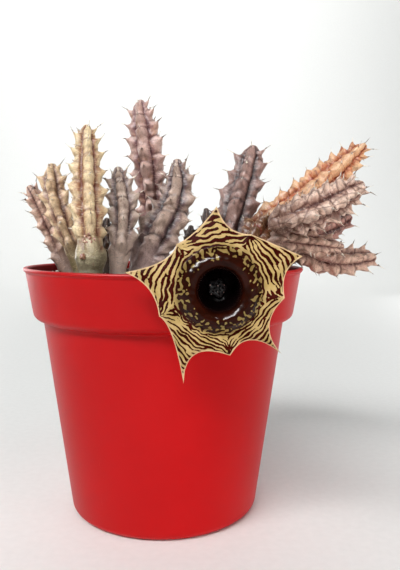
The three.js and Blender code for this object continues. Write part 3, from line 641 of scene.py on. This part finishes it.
def build_stem(number, name, look_name, teeth, turn, bare, foot, points):
    look = LOOKS[look_name]
    stem = Stem(number, look, teeth, turn, bare, points)
    for rib in range(RIBS):
        for tooth in range(teeth):
            row = tooth + ((2 * rib) % RIBS) / RIBS + FIRST_TOOTH
            if row <= teeth - TOP_GAP:
                stem.grow_tooth(rib, row)
    grid, read = stem.skin()
    lower, start = stem_foot(stem, grid[0], foot)
    tip, up, shift = stem.centre[-1], stem.tangent[-1], SKIN_SHIFT * number
    upper = np.array([tip + (grid[-1] - tip) * part + up * height for part, height in TIP_RINGS])
    points, faces = closed_mesh(np.concatenate([lower, grid, upper]), start, tip + up * TIP_HEIGHT)
    reads = [read_off(lower, 0.6, 0, shift), read, read_off(upper, 0.8, stem.path.length, shift),
             read_off(points[-2:], 0.6, 0)]

    parts = [(points, faces, SKIN), *stem.spines()]
    if name == SCARRED:
        for scar, (x, y, z, size) in enumerate(SCARS):
            parts.append((*ball_mesh((x, y, z), size, Waves(80 + scar, 2), 3, 0.22), SCAR))
    if name == BRANCHED:
        parts.append((*ball_mesh(*COLLAR, Waves(90, 5), 4, 0.05), SKIN))
    reads += [read_off(more, 0.5, 3) for more, _, _ in parts[1:]]
    read = np.concatenate([rows.reshape(-1, 7) for rows in reads])
    attributes = {"ridge": read[:, 0], "tooth": read[:, 1], "crease": read[:, 2], "along": read[:, 3],
                  "skin": read[:, 4:]}
    face_materials = [material for _, more_faces, material in parts for _ in more_faces]
    points, faces = merged([part[:2] for part in parts])
    node = name if name.startswith("stem") else BRANCHED
    new_piece(f"{name}_skin", points, faces, node, look.slot,
              [stem_material(name, look), spine_material(), scar_material()], face_materials, attributes)


# Materials

class Shader:
    """A material's node tree, with short ways to add what the pieces here use. Colours are sRGB bytes."""

    def __init__(self, name):
        self.material = bpy.data.materials.new(name)
        self.material.use_nodes = True
        self.tree = self.material.node_tree
        self.surface = self.tree.nodes["Principled BSDF"]

    def put(self, socket, value):
        if isinstance(value, bpy.types.NodeSocket):
            self.tree.links.new(value, socket)
        else:
            socket.default_value = value

    def set(self, **sockets):
        for key, value in sockets.items():
            self.put(self.surface.inputs[key.replace("_", " ")], value)

    def add(self, kind, inputs, **settings):
        node = self.tree.nodes.new("ShaderNode" + kind)
        for key, value in settings.items():
            setattr(node, key, value)
        for key, value in inputs.items():
            self.put(node.inputs[key], value)
        return node

    def math(self, operation, *values):
        return self.add("Math", dict(enumerate(values)), operation=operation).outputs[0]

    def plus(self, first, second):
        return self.math("ADD", first, second)

    def times(self, first, second):
        return self.math("MULTIPLY", first, second)

    def scaled(self, value, factor, offset):
        return self.math("MULTIPLY_ADD", value, factor, offset)

    def between(self, value, low, high, to_low=0.0, to_high=1.0, smooth=True):
        inputs = {"Value": value, "From Min": low, "From Max": high, "To Min": to_low, "To Max": to_high}
        kind = "SMOOTHSTEP" if smooth else "LINEAR"
        return self.add("MapRange", inputs, interpolation_type=kind).outputs["Result"]

    def ramp(self, value, stops):
        node = self.add("ValToRGB", {"Fac": value})
        while len(node.color_ramp.elements) < len(stops):
            node.color_ramp.elements.new(0.5)
        for element, (place, colour) in zip(node.color_ramp.elements, stops):
            element.position, element.color = place, linear(colour)
        return node.outputs["Color"]

    def tones(self, value, low, high, start=0.35, end=0.65):
        return self.ramp(value, [(start, low), (end, high)])

    def mix(self, part, first, second, blend="MIX"):
        inputs = {0: part, 6: linear(first), 7: linear(second)}
        return self.add("Mix", inputs, data_type="RGBA", blend_type=blend).outputs[2]

    @cached_property
    def place(self):
        """The place in the frame, in millimetres."""
        return self.stretched(self.tree.nodes.new("ShaderNodeTexCoord").outputs["Object"], (1000, 1000, 1000))

    def stretched(self, place, scale):
        return self.add("VectorMath", {0: place, 1: scale}, operation="MULTIPLY").outputs["Vector"]

    def attribute(self, name, output="Fac"):
        return self.add("Attribute", {}, attribute_name=name).outputs[output]

    def noise(self, scale, detail=3, roughness=0.5, place=None, distortion=0):
        inputs = {"Vector": place or self.place, "Scale": scale, "Detail": detail, "Roughness": roughness,
                  "Distortion": distortion}
        return self.add("TexNoise", inputs).outputs["Fac"]

    def cells(self, scale, feature, place=None):
        inputs = {"Vector": place or self.place, "Scale": scale}
        return self.add("TexVoronoi", inputs, feature=feature).outputs["Distance"]

    def bump(self, height, strength, distance=0.0003):
        node = self.add("Bump", {"Height": height, "Strength": strength, "Distance": distance})
        self.set(Normal=node.outputs["Normal"])

    def finish(self, colour, grain, rough, relief):
        """The material, with its roughness and its relief from the grain."""
        self.set(Base_Color=colour, Roughness=self.between(grain, 0.3, 0.7, *rough))
        self.bump(grain, relief)
        return self.material


def stem_material(name, look):
    shader = Shader(f"{name}_skin")
    skin = shader.attribute("skin", "Vector")
    ridge, along, tooth, crease = (shader.attribute(key) for key in ("ridge", "along", "tooth", "crease"))
    broad, fine = shader.noise(0.28, 3, 0.55, skin), shader.noise(2.6, 4, 0.65, skin)
    streaks = shader.noise(1.3, 3, 0.6, shader.stretched(skin, (1, 1, 0.22)))
    height = shader.plus(ridge, shader.scaled(broad, 0.9, -0.45))
    height = shader.plus(height, shader.scaled(streaks, 0.5, -0.25))
    # From valley to crest: the skin's own colours, with painted shade darkening the narrow valleys
    colour = shader.ramp(height, [(0.08, look.valley), (0.5, look.flank), (0.95, look.crest)])
    blotches = shader.noise(0.55, 4, 0.6, shader.stretched(skin, (1, 1, 0.6)), 0.6)
    blotches = shader.times(shader.between(blotches, 0.5, 0.68), look.blotches)
    colour = shader.mix(blotches, colour, look.blotch)
    colour = shader.mix(shader.between(along, look.foot_start, look.foot_end, 0.95, 0), colour, look.foot)

    # Wrinkles: a dark line of painted shade where the noise crosses its middle, and a pale lip beside it with
    # a painted highlight
    folds = shader.noise(look.folds, 3, 0.55, shader.stretched(skin, (0.32, 0.32, 1.1)), 0.4)
    lines = shader.between(shader.math("ABSOLUTE", shader.math("SUBTRACT", folds, 0.5)), 0, 0.022, 1, 0)
    lines = shader.times(lines, shader.between(broad, 0.36, 0.6, 0, 0.4 * look.creases))
    colour = shader.mix(lines, colour, tinted(look.valley, (0.5, 0.5, 0.5)))
    lip_highlight = shader.between(shader.math("SUBTRACT", folds, 0.535), -0.03, 0)
    lip_highlight = shader.times(lip_highlight, shader.between(folds, 0.535, 0.57, 0.35, 0))
    colour = shader.mix(lip_highlight, colour, tinted(look.crest, (1.25, 1.25, 1.25)))

    # In the creases and in the cracks between plates a reddish brown that is partly the skin's own and partly
    # painted shade; a fine mottle all over, and brown teeth
    groove_brown_and_shade = tinted(look.valley, (0.8, 0.5, 0.45))
    colour = shader.mix(shader.times(crease, 0.9), colour, groove_brown_and_shade)
    plates = shader.cells(0.5, "DISTANCE_TO_EDGE", shader.stretched(skin, (0.9, 0.9, 0.45)))
    cracks = shader.times(shader.between(plates, 0, 0.07, 1, 0), look.plates)
    colour = shader.mix(cracks, colour, groove_brown_and_shade)
    mottle = shader.between(fine, 0.3, 0.72, 0.7, 1.25, smooth=False)
    colour = shader.mix(1, colour, shader.tones(mottle, (0, 0, 0), (255, 255, 255), 0, 1), "MULTIPLY")
    colour = shader.mix(shader.between(tooth, 0.55, 0.95, 0, 0.5), colour, (84, 60, 52))
    shader.set(Base_Color=colour, Roughness=shader.between(fine, 0.2, 0.8, 0.3, 0.5, smooth=False),
               Specular_IOR_Level=0.24)
    bumps = shader.plus(shader.times(fine, 0.7), shader.times(streaks, 0.8))
    bumps = shader.math("SUBTRACT", bumps, shader.times(lines, 0.9))
    shader.bump(shader.math("SUBTRACT", bumps, shader.times(cracks, 1.5)), 0.55)
    return shader.material


@cache
def spine_material():
    shader = Shader("spines")
    grain = shader.noise(0.6, 2)
    colour = shader.tones(grain, (104, 78, 64), (236, 224, 206), 0.42, 0.56)
    return shader.finish(colour, grain, (0.3, 0.5), 0.2)


@cache
def scar_material():
    shader = Shader("scars")
    grain = shader.noise(1.6, 4, 0.6)
    colour = shader.ramp(grain, [(0.3, (96, 52, 38)), (0.5, (158, 102, 74)), (0.66, (232, 214, 184))])
    return shader.finish(colour, grain, (0.32, 0.55), 0.8)


def pot_material():
    shader = Shader("pot_plastic")
    cloud, grain = shader.noise(0.045), shader.noise(3.5, 3, 0.6)
    colour = shader.tones(cloud, (178, 4, 8), (186, 6, 11), 0.3, 0.7)
    scuffs = shader.noise(0.5, 5, 0.7, shader.stretched(shader.place, (1, 1, 0.3)))
    colour = shader.mix(shader.between(scuffs, 0.66, 0.76, 0, 0.12), colour, (232, 120, 110))

    # Painted shade darkens the inside of the wall, which is also rougher and less shiny there
    height = shader.add("SeparateXYZ", {"Vector": shader.place}).outputs["Z"]
    flat = shader.stretched(shader.place, (1, 1, 0))
    radius = shader.add("VectorMath", {0: flat}, operation="LENGTH").outputs["Value"]
    upright = shader.scaled(height, -BAND_LEAN, radius)
    inside = shader.times(shader.between(upright, *BAND_MIDDLE, 1, 0), shader.between(height, *INNER_SHADE_FOOT))
    inner_shade = shader.times(inside, shader.between(grain, 0.3, 0.7, 0.72, 0.95))
    rough = shader.scaled(inside, 0.4, shader.between(grain, 0.3, 0.7, 0.36, 0.44, smooth=False))
    shader.set(Base_Color=shader.mix(inner_shade, colour, (84, 14, 11)), Roughness=rough,
               Specular_IOR_Level=shader.between(inside, 0, 1, 0.14, 0.02))
    shader.bump(grain, 0.06, 0.0002)
    return shader.material


def soil_material():
    shader = Shader("soil")
    clods, grain = shader.noise(0.5, 4, 0.6), shader.noise(2.8, 5, 0.7)
    colour = shader.ramp(clods, [(0.3, (38, 26, 19)), (0.55, (72, 50, 36)), (0.75, (106, 78, 54))])
    colour = shader.mix(shader.between(grain, 0.62, 0.72, 0, 0.7), colour, (168, 146, 116))
    shader.set(Base_Color=colour, Roughness=shader.between(grain, 0.3, 0.7, 0.85, 1), Specular_IOR_Level=0.1)
    shader.bump(shader.plus(grain, clods), 0.9, 0.0006)
    return shader.material


def grit_material(name, low, high):
    shader = Shader(name)
    grain, tint = shader.noise(2.5, 4, 0.6), shader.noise(0.35, 2)
    tone = shader.plus(shader.times(grain, 0.5), shader.times(tint, 0.5))
    return shader.finish(shader.tones(tone, low, high), grain, (0.7, 0.95), 0.8)


def corolla_front_material():
    shader = Shader("corolla_front")
    marking, margin, radius = (shader.attribute(name) for name in ("marking", "margin", "radius"))
    fine, tint = shader.noise(4.5, 3, 0.6), shader.noise(0.4)
    yellow = shader.tones(tint, (180, 152, 94), (200, 172, 118))
    olive = shader.tones(tint, (126, 104, 56), (150, 128, 76))
    maroon = shader.tones(tint, (44, 5, 1), (64, 12, 4))
    ring_brown = shader.tones(tint, (32, 7, 1), (46, 13, 4))
    ground = shader.mix(shader.between(radius, 9.8, 12), olive, yellow)
    ground = shader.mix(shader.between(margin, 0.22, 0.5, 1, 0), ground, (216, 184, 140))
    dark = shader.between(shader.plus(marking, shader.scaled(fine, 0.3, -0.15)), -0.12, 0.12)
    dark = shader.times(dark, shader.between(margin, 0.15, 0.4))
    colour = shader.mix(dark, ground, shader.mix(shader.between(radius, 10, 11), ring_brown, maroon))
    # Near black inside the tube: its own dark colour, deepened by painted shade
    colour = shader.mix(shader.between(radius, 4.7, 6.1), (12, 5, 6), colour)
    limb = shader.between(radius, 9.8, 11.6)
    rough = shader.plus(shader.scaled(limb, 0.34, 0.16), shader.times(fine, 0.06))
    shader.set(Base_Color=colour, Roughness=rough, Specular_IOR_Level=shader.between(limb, 0, 1, 0.1, 0.02))
    relief = shader.plus(shader.times(fine, 0.5), shader.times(dark, 0.25))
    shader.bump(shader.times(relief, limb), 0.35, 0.0002)
    return shader.material


def corolla_back_material():
    shader = Shader("corolla_back")
    cloud, fine = shader.noise(0.25), shader.noise(2.5, 4, 0.6)
    colour = shader.tones(cloud, (214, 196, 150), (228, 206, 166))
    colour = shader.mix(shader.between(fine, 0.56, 0.66, 0, 0.5), colour, (170, 110, 92))
    return shader.finish(colour, fine, (0.5, 0.65), 0.4)


def corona_material():
    shader = Shader("corona")
    fine, specks = shader.noise(1.6), shader.cells(1.15, "F1")
    colour = shader.tones(fine, (10, 4, 5), (30, 11, 13))
    colour = shader.mix(shader.between(specks, 0.14, 0.22, 1, 0), colour, (236, 196, 186))
    return shader.finish(colour, fine, (0.22, 0.4), 0.3)


def stalk_material():
    shader = Shader("stalk")
    cloud, fine = shader.noise(0.3), shader.noise(2.2, 4, 0.6)
    colour = shader.tones(cloud, (112, 104, 62), (150, 140, 88))
    colour = shader.mix(shader.between(fine, 0.55, 0.65, 0, 0.6), colour, (112, 62, 54))
    return shader.finish(colour, fine, (0.45, 0.65), 0.4)


# Pieces

def rounded(profile, radius):
    """The profile with each inner corner turned into a short arc of about the given radius."""
    profile = np.asarray(profile, float)
    out = [profile[0]]
    for before, corner, after in zip(profile, profile[1:], profile[2:]):
        back, on = before - corner, after - corner
        cut = min(radius, 0.45 * np.linalg.norm(back), 0.45 * np.linalg.norm(on))
        start, end = corner + unit(back) * cut, corner + unit(on) * cut
        for t in (0, 0.25, 0.5, 0.75, 1):
            out.append((1 - t) ** 2 * start + 2 * t * (1 - t) * corner + t * t * end)
    return np.array([*out, profile[-1]])


def body_radius_at(z):
    return BASE_RADIUS + (SHOULDER_RADIUS - BASE_RADIUS) * z / SHOULDER_Z


def build_pot():
    foot = body_radius_at(FLOOR_Z) - WALL
    outside = [(0, 0), (28.9, 0), (body_radius_at(1.4), 1.4), (SHOULDER_RADIUS, SHOULDER_Z),
               (40.6, 62.6), (41.9, 63.7), (42.25, 65.4), (44.2, 77.3), (44.8, 77.8),
               (RIM_RADIUS, 78.3), (44.7, POT_HEIGHT)]
    inside = [(43.7, POT_HEIGHT), (43.4, 78.3), (42.7, 77), (40.7, 64.9), (37.5, 61.8),
              (foot, FLOOR_Z + 1), (foot - 1, FLOOR_Z), (0, FLOOR_Z)]
    points, faces = lathe(rounded(rounded(outside + inside, 1.2), 0.4), POT_SEGMENTS)
    pot = new_piece("pot_shell", points, faces, "pot", "pot_plastic", [pot_material()])
    cutters = bmesh.new()
    for i in range(DRAIN_COUNT):
        angle = 2 * math.pi * (i + 0.5) / DRAIN_COUNT
        middle = (DRAIN_RING_RADIUS * MM * math.cos(angle), DRAIN_RING_RADIUS * MM * math.sin(angle), 1 * MM)
        bmesh.ops.create_cone(cutters, cap_ends=True, segments=24, radius1=DRAIN_RADIUS * MM,
                              radius2=DRAIN_RADIUS * MM, depth=4 * MM, matrix=Matrix.Translation(middle))
    cutter_mesh = bpy.data.meshes.new("drain_cutters")
    cutters.to_mesh(cutter_mesh)
    cutters.free()
    cutter = add_object("drain_cutters", cutter_mesh)
    cut = pot.modifiers.new("drains", "BOOLEAN")
    cut.operation, cut.solver, cut.object = "DIFFERENCE", "EXACT", cutter
    cut_mesh = bpy.data.meshes.new_from_object(pot.evaluated_get(bpy.context.evaluated_depsgraph_get()))
    pot.modifiers.remove(cut)
    pot.data = cut_mesh
    bpy.data.objects.remove(cutter)
    cut_mesh.set_sharp_from_angle(angle=math.radians(50))


def soil_top(x, y):
    r = np.hypot(x, y) / RIM_RADIUS
    lumps = np.sin(x * 0.41 + 1) * np.cos(y * 0.37) + 0.6 * np.sin(x * 0.23 - y * 0.31)
    return SOIL_Z + SOIL_MOUND * (1 - r * r) + SOIL_LUMP * lumps


def build_soil():
    wall = body_radius_at(FLOOR_Z)
    side = [(0, 2.1), (wall - 3.2, 2.1), (wall - 1.9, 3.4), (37.1, 62), (40.3, 65.2),
            (SOIL_EDGE, SOIL_Z - 0.3)]
    top = [(SOIL_EDGE * (1 - ring / SOIL_RINGS), SOIL_Z) for ring in range(SOIL_RINGS)]
    points, faces = lathe([*side, *top, (0, SOIL_Z)], SOIL_SEGMENTS)
    x, y, z = points.T
    clods, crumbs = Waves(200, 3.2), Waves(201, 1.1)
    flat = np.column_stack([x, y, np.zeros_like(x)])
    height = soil_top(x, y) + 0.28 * clods.at(flat) + 0.16 * crumbs.at(flat)
    feet = [foot for *_, foot, _ in STEMS if foot]
    for foot_x, foot_y, radius in feet:
        away = np.hypot(x - foot_x, y - foot_y) - radius
        height += 0.5 * np.exp(-np.maximum(0, away) / 1.4) - (PEG_DEPTH + 1) * smoothstep(0.1, -0.3, away)
    upper = z > SOIL_Z - 0.1
    points[upper, 2] = np.minimum(height[upper], LEVEL - 0.4)
    new_piece("soil_bed", points, faces, "soil", "soil", [soil_material()])

    rng = np.random.default_rng(SEED)
    for name, count, low, high, small, large in GRAIN_KINDS:
        stones = []
        while len(stones) < count:
            r, angle = SOIL_EDGE * math.sqrt(rng.uniform(0.02, 0.97)), rng.uniform(0, 2 * math.pi)
            size, seed = rng.uniform(small, large), int(rng.integers(1000))
            stretch = rng.uniform((0.8, 0.6, 0.5), (1.3, 1, 0.85))
            x, y = r * math.cos(angle), r * math.sin(angle)
            if all(math.hypot(x - foot[0], y - foot[1]) >= foot[2] + size for foot in feet):
                centre = (x, y, float(soil_top(x, y)) + 0.25 * size)
                stones.append(ball_mesh(centre, size, Waves(300 + seed, 1.8, 8), 1, 0.3, stretch))
        new_piece(name, *merged(stones), "soil", "soil", [grit_material(name, low, high)])


def corner_roots():
    """The bearings at which corners join the ring: midway between the bends on their two sides."""
    bends = np.array([bend for _, bend, _ in OUTLINE])
    middles = bends + np.roll(bends, 1, axis=0)
    return np.arctan2(middles[:, 1], middles[:, 0])


def bloom_outline(steps):
    """The ways out from the ring, the points on the edge that they lead to, and how far back each curls."""
    out, edge, back = [], [], []
    roots = corner_roots()
    for i, (corner, bend, curl) in enumerate(OUTLINE):
        end, _, next_curl = OUTLINE[(i + 1) % len(OUTLINE)]
        corner, bend, end = map(np.array, (corner, bend, end))
        start = roots[i]
        turn = (roots[(i + 1) % len(roots)] - start) % (2 * math.pi)
        for t in np.arange(steps) / steps:
            out.append((math.cos(start + turn * t), math.sin(start + turn * t)))
            edge.append((1 - t) ** 2 * corner + 2 * t * (1 - t) * bend + t * t * end)
            towards = t ** 0.7 if curl > next_curl else 1 - (1 - t) ** 0.7
            back.append(curl + (next_curl - curl) * towards)
    return np.array(out), np.array(edge), np.array(back)


def build_corolla():
    steps, limb_rows, back_rows = 50, 60, 14
    out, edge, back = bloom_outline(steps)
    columns = len(edge)
    ring_radius, ring_height = TUBE_AND_RING[-1]
    on_ring, thinning = ring_radius * out, ROOT_THICKNESS - EDGE_THICKNESS

    # Rows of places in the bloom's plane, with their heights and how far out on the limb they lie
    rows = [(r * out, height, 0) for r, height in spline(TUBE_AND_RING, 6)[0][:-1]]
    rows += [(on_ring + (edge - on_ring) * part, ring_height - back * part ** LIMB_CURL, part)
             for part in np.linspace(0, 1, limb_rows)]
    front_rows = len(rows)
    rows += [(on_ring + (edge - on_ring) * min(part, 0.997),
              ring_height - back * part ** LIMB_CURL - ROOT_THICKNESS + thinning * part, part)
             for part in np.linspace(1, 0, back_rows)]
    behind = [(ring_radius, ring_height - ROOT_THICKNESS), *BACK_OF_BLOOM]
    rows += [(r * out, height, 0) for r, height in spline(behind, 4)[0][1:]]
    u, v = np.moveaxis(np.array([flat for flat, _, _ in rows]), -1, 0)
    heights = np.array([np.broadcast_to(height, columns) for _, height, _ in rows])
    parts, radii = np.array([part for _, _, part in rows]), np.hypot(u, v)
    limb = parts > 0

    # A low ridge out to each tooth, and a shallow groove down the middle of each lobe
    corners = np.array([complex(*corner) for corner, _, _ in OUTLINE])
    feet = ring_radius * np.exp(1j * corner_roots())
    place, way = (u + 1j * v)[..., None] - feet, corners - feet
    reached = np.clip((place * way.conj()).real / np.abs(way) ** 2, 0, 1)
    aside = np.abs(place - reached * way)
    to_lobe, to_tooth = aside[..., 0::2].min(-1), aside[..., 1::2].min(-1)
    fold = 0.35 * np.exp(-(to_tooth / 0.55) ** 2) - 0.25 * np.exp(-(to_lobe / 0.6) ** 2)
    fold *= (smoothstep(0.05, 0.4, parts) * (1 - smoothstep(0.75, 1, parts)))[:, None]
    fold[front_rows:] = 0

    # Ripples on the limb, and bumps on the ring
    flat = np.stack([u, v, np.zeros_like(u)], -1)
    ripple = 0.16 * Waves(400, 4).at(flat) + 0.05 * Waves(401, 1.5).at(flat)
    bumps = 0.04 * Waves(402, 2.2).at(flat) * ((radii > 5.6) & (radii < ring_radius))
    heights = heights + fold + limb[:, None] * ripple * smoothstep(0, 0.3, parts)[:, None]
    heights[:front_rows] += bumps[:front_rows]

    grid = np.stack([BLOOM[0] + u, BLOOM[1] - heights, BLOOM[2] + v], -1)
    ends = [[BLOOM[0], BLOOM[1] - height, BLOOM[2]] for height in (TUBE_AND_RING[0][1], BACK_CENTRE)]
    points, faces = closed_mesh(grid, *ends)
    front = (front_rows - 1) * columns
    face_materials = [0] * front + [1] * (len(faces) - front - 2 * columns) + [0] * columns + [1] * columns
    margin = np.full(radii.shape, 9.0)
    margin[limb] = [np.hypot(edge[:, 0] - a[:, None], edge[:, 1] - b[:, None]).min(1)
                    for a, b in zip(u[limb], v[limb])]
    values = {"margin": margin, "radius": radii, "marking": read_grid(bloom_markings(), u, v)}
    attributes = {key: np.append(value, [9, 9]) for key, value in values.items()}
    attributes["radius"][-2:] = 0
    new_piece("corolla", points, [face[::-1] for face in faces], "flower_corolla", "petal",
              [corolla_front_material(), corolla_back_material()], face_materials, attributes)


def build_corona():
    """A five-lobed disc with a curved horn on each lobe, and a smaller inner horn between them."""
    rings, segments = 14, 80
    tube_floor = BLOOM[1] - TUBE_AND_RING[0][1] - 0.3
    angles = ring_angles(segments)
    lobes = 2.3 + 0.25 * np.cos(5 * angles)
    disc = [(0.01, 0)] + [(math.sin(turn), 0.4 * (1 - math.cos(turn)))
                          for turn in np.linspace(0.3, math.pi - 0.02, rings)]
    rows = [np.column_stack([BLOOM[0] + lobes * part * np.cos(angles), np.full(segments, tube_floor - height),
                             BLOOM[2] + lobes * part * np.sin(angles)]) for part, height in disc]
    parts = [(np.concatenate(rows), [face[::-1] for face in grid_faces(len(rows), segments)])]
    steps = np.linspace(0, 1, 9)
    for i, angle in enumerate(ring_angles(10)):
        root, high, lean = HORNS[i % 2]
        out = root + lean * steps ** 2
        centres = np.column_stack([BLOOM[0] + out * math.cos(angle), tube_floor - 0.4 - (high - 0.4) * steps,
                                   BLOOM[2] + out * math.sin(angle)])
        parts.append(tube_mesh(centres, 0.42 * (1 - 0.75 * steps), 10))
    new_piece("corona", *merged(parts), "flower_corona", "corona", [corona_material()])


def build_stalk():
    """The stalk, the cup behind the bloom, and five sepals that spread from the cup."""
    centres = spline(np.array(STALK_PATH, float) + [0, 0, LEVEL], 10)[0]
    parts = [tube_mesh(centres, 0.95 + 0.05 * Waves(500, 3).at(centres), 16)]
    behind = BLOOM[1] - BACK_CENTRE + 0.3
    cup = [(0, 0.6), (0.05, 1.6), (0.4, 1.85), (0.9, 1.7), (1.3, 1.2)]
    parts.append(tube_mesh([(BLOOM[0], behind + y, BLOOM[2]) for y, _ in cup], [r for _, r in cup], 24))
    steps = np.linspace(0, 1, 12)
    for angle in ring_angles(5) + 0.35:
        out = SEPAL_LENGTH * steps
        centres = np.column_stack([BLOOM[0] + out * np.cos(angle), behind + 0.6 + 0.25 * np.sin(3 * steps),
                                   BLOOM[2] - out * np.sin(angle)])
        parts.append(tube_mesh(centres, 0.6 * (1 - steps) ** 0.7 + 0.02, 10))
    new_piece("stalk", *merged(parts), "flower_stalk", "stalk", [stalk_material()])


build_pot()
build_soil()
for number, stem in enumerate(STEMS):
    build_stem(number, *stem)
build_corolla()
build_corona()
build_stalk()


# Camera, light and floor, in metres. The camera's yaw, pitch and roll are in degrees, its lens in millimetres

CAMERA_PLACE = (0, -0.1944, 0.0883)
CAMERA_TURNS = (3.43, 4.63, 0.28)
LENS = 37.14


def build_camera():
    yaw, pitch, roll = (math.radians(a) for a in CAMERA_TURNS)
    ahead = Vector((math.sin(yaw) * math.cos(pitch), math.cos(yaw) * math.cos(pitch), -math.sin(pitch)))
    right = Vector((math.cos(yaw), -math.sin(yaw), 0))
    up = right.cross(ahead)
    tilted_right = right * math.cos(roll) + up * math.sin(roll)
    tilted_up = up * math.cos(roll) - right * math.sin(roll)
    turned = Matrix((tilted_right, tilted_up, -ahead)).transposed().to_4x4()
    data = bpy.data.cameras.new("camera")
    data.lens, data.sensor_width, data.clip_start = LENS, 36, 0.01
    camera = add_object("camera", data)
    camera.matrix_world = Matrix.Translation(CAMERA_PLACE) @ turned
    bpy.context.scene.camera = camera


def area_light(name, place, target, size, energy, shade=True, shine=True):
    data = bpy.data.lights.new(name, "AREA")
    data.shape, data.size, data.size_y = "RECTANGLE", *size
    data.energy = energy
    light = add_object(name, data)
    light.location = place
    light.visible_diffuse, light.visible_glossy = shade, shine
    light.rotation_euler = (Vector(target) - Vector(place)).to_track_quat("-Z", "Y").to_euler()


def build_floor():
    """A pale sheet that lies flat under the pot and curves up far behind it."""
    half_width, front, bend_start, bend_radius, height = 2.5, -2.5, 0.9, 0.8, 3.0
    profile = [(front, 0), (bend_start, 0)]
    profile += [(bend_start + bend_radius * math.sin(t), bend_radius * (1 - math.cos(t)))
                for t in np.linspace(0.05, math.pi / 2, 24)]
    profile.append((bend_start + bend_radius, height))
    points = [(x, y, z) for y, z in profile for x in (-half_width, half_width)]
    faces = [(2 * i, 2 * i + 1, 2 * i + 3, 2 * i + 2) for i in range(len(profile) - 1)]
    mesh = smooth_mesh("floor", points, faces)
    shader = Shader("floor")
    colour = shader.tones(shader.noise(0.4), (228, 229, 227), (232, 233, 231), 0.3, 0.7)
    shader.set(Base_Color=colour, Roughness=0.7)
    mesh.materials.append(shader.material)
    floor = add_object("floor", mesh)


build_camera()
build_floor()
world = bpy.data.worlds.new("studio")
world.use_nodes = True
world.node_tree.nodes["Background"].inputs["Color"].default_value = (0.95, 0.98, 1, 1)
world.node_tree.nodes["Background"].inputs["Strength"].default_value = 0.14
bpy.context.scene.world = world
area_light("key", (-0.3, -0.5, 0.62), (0, 0, 0.08), (0.7, 0.12), 6.2)
area_light("fill", (0.62, -0.45, 0.1), (0.02, 0, 0.04), (0.5, 0.4), 3.4, shine=False)
area_light("glint", (-0.3, -0.5, 0.6), (0, 0, 0.08), (0.8, 0.12), 26, shade=False)
area_light("right_sheen", (0.5, 0.55, 0.2), (0.02, 0, 0.06), (0.4, 0.5), 1.9, shade=False)
area_light("left_sheen", (-0.5, 0.55, 0.2), (-0.02, 0, 0.06), (0.4, 0.5), 3, shade=False)
area_light("back", (-0.05, 0.78, 1.2), (0, 1.6, 0.5), (1.6, 0.7), 17)
bpy.context.scene.view_settings.view_transform = "Standard"
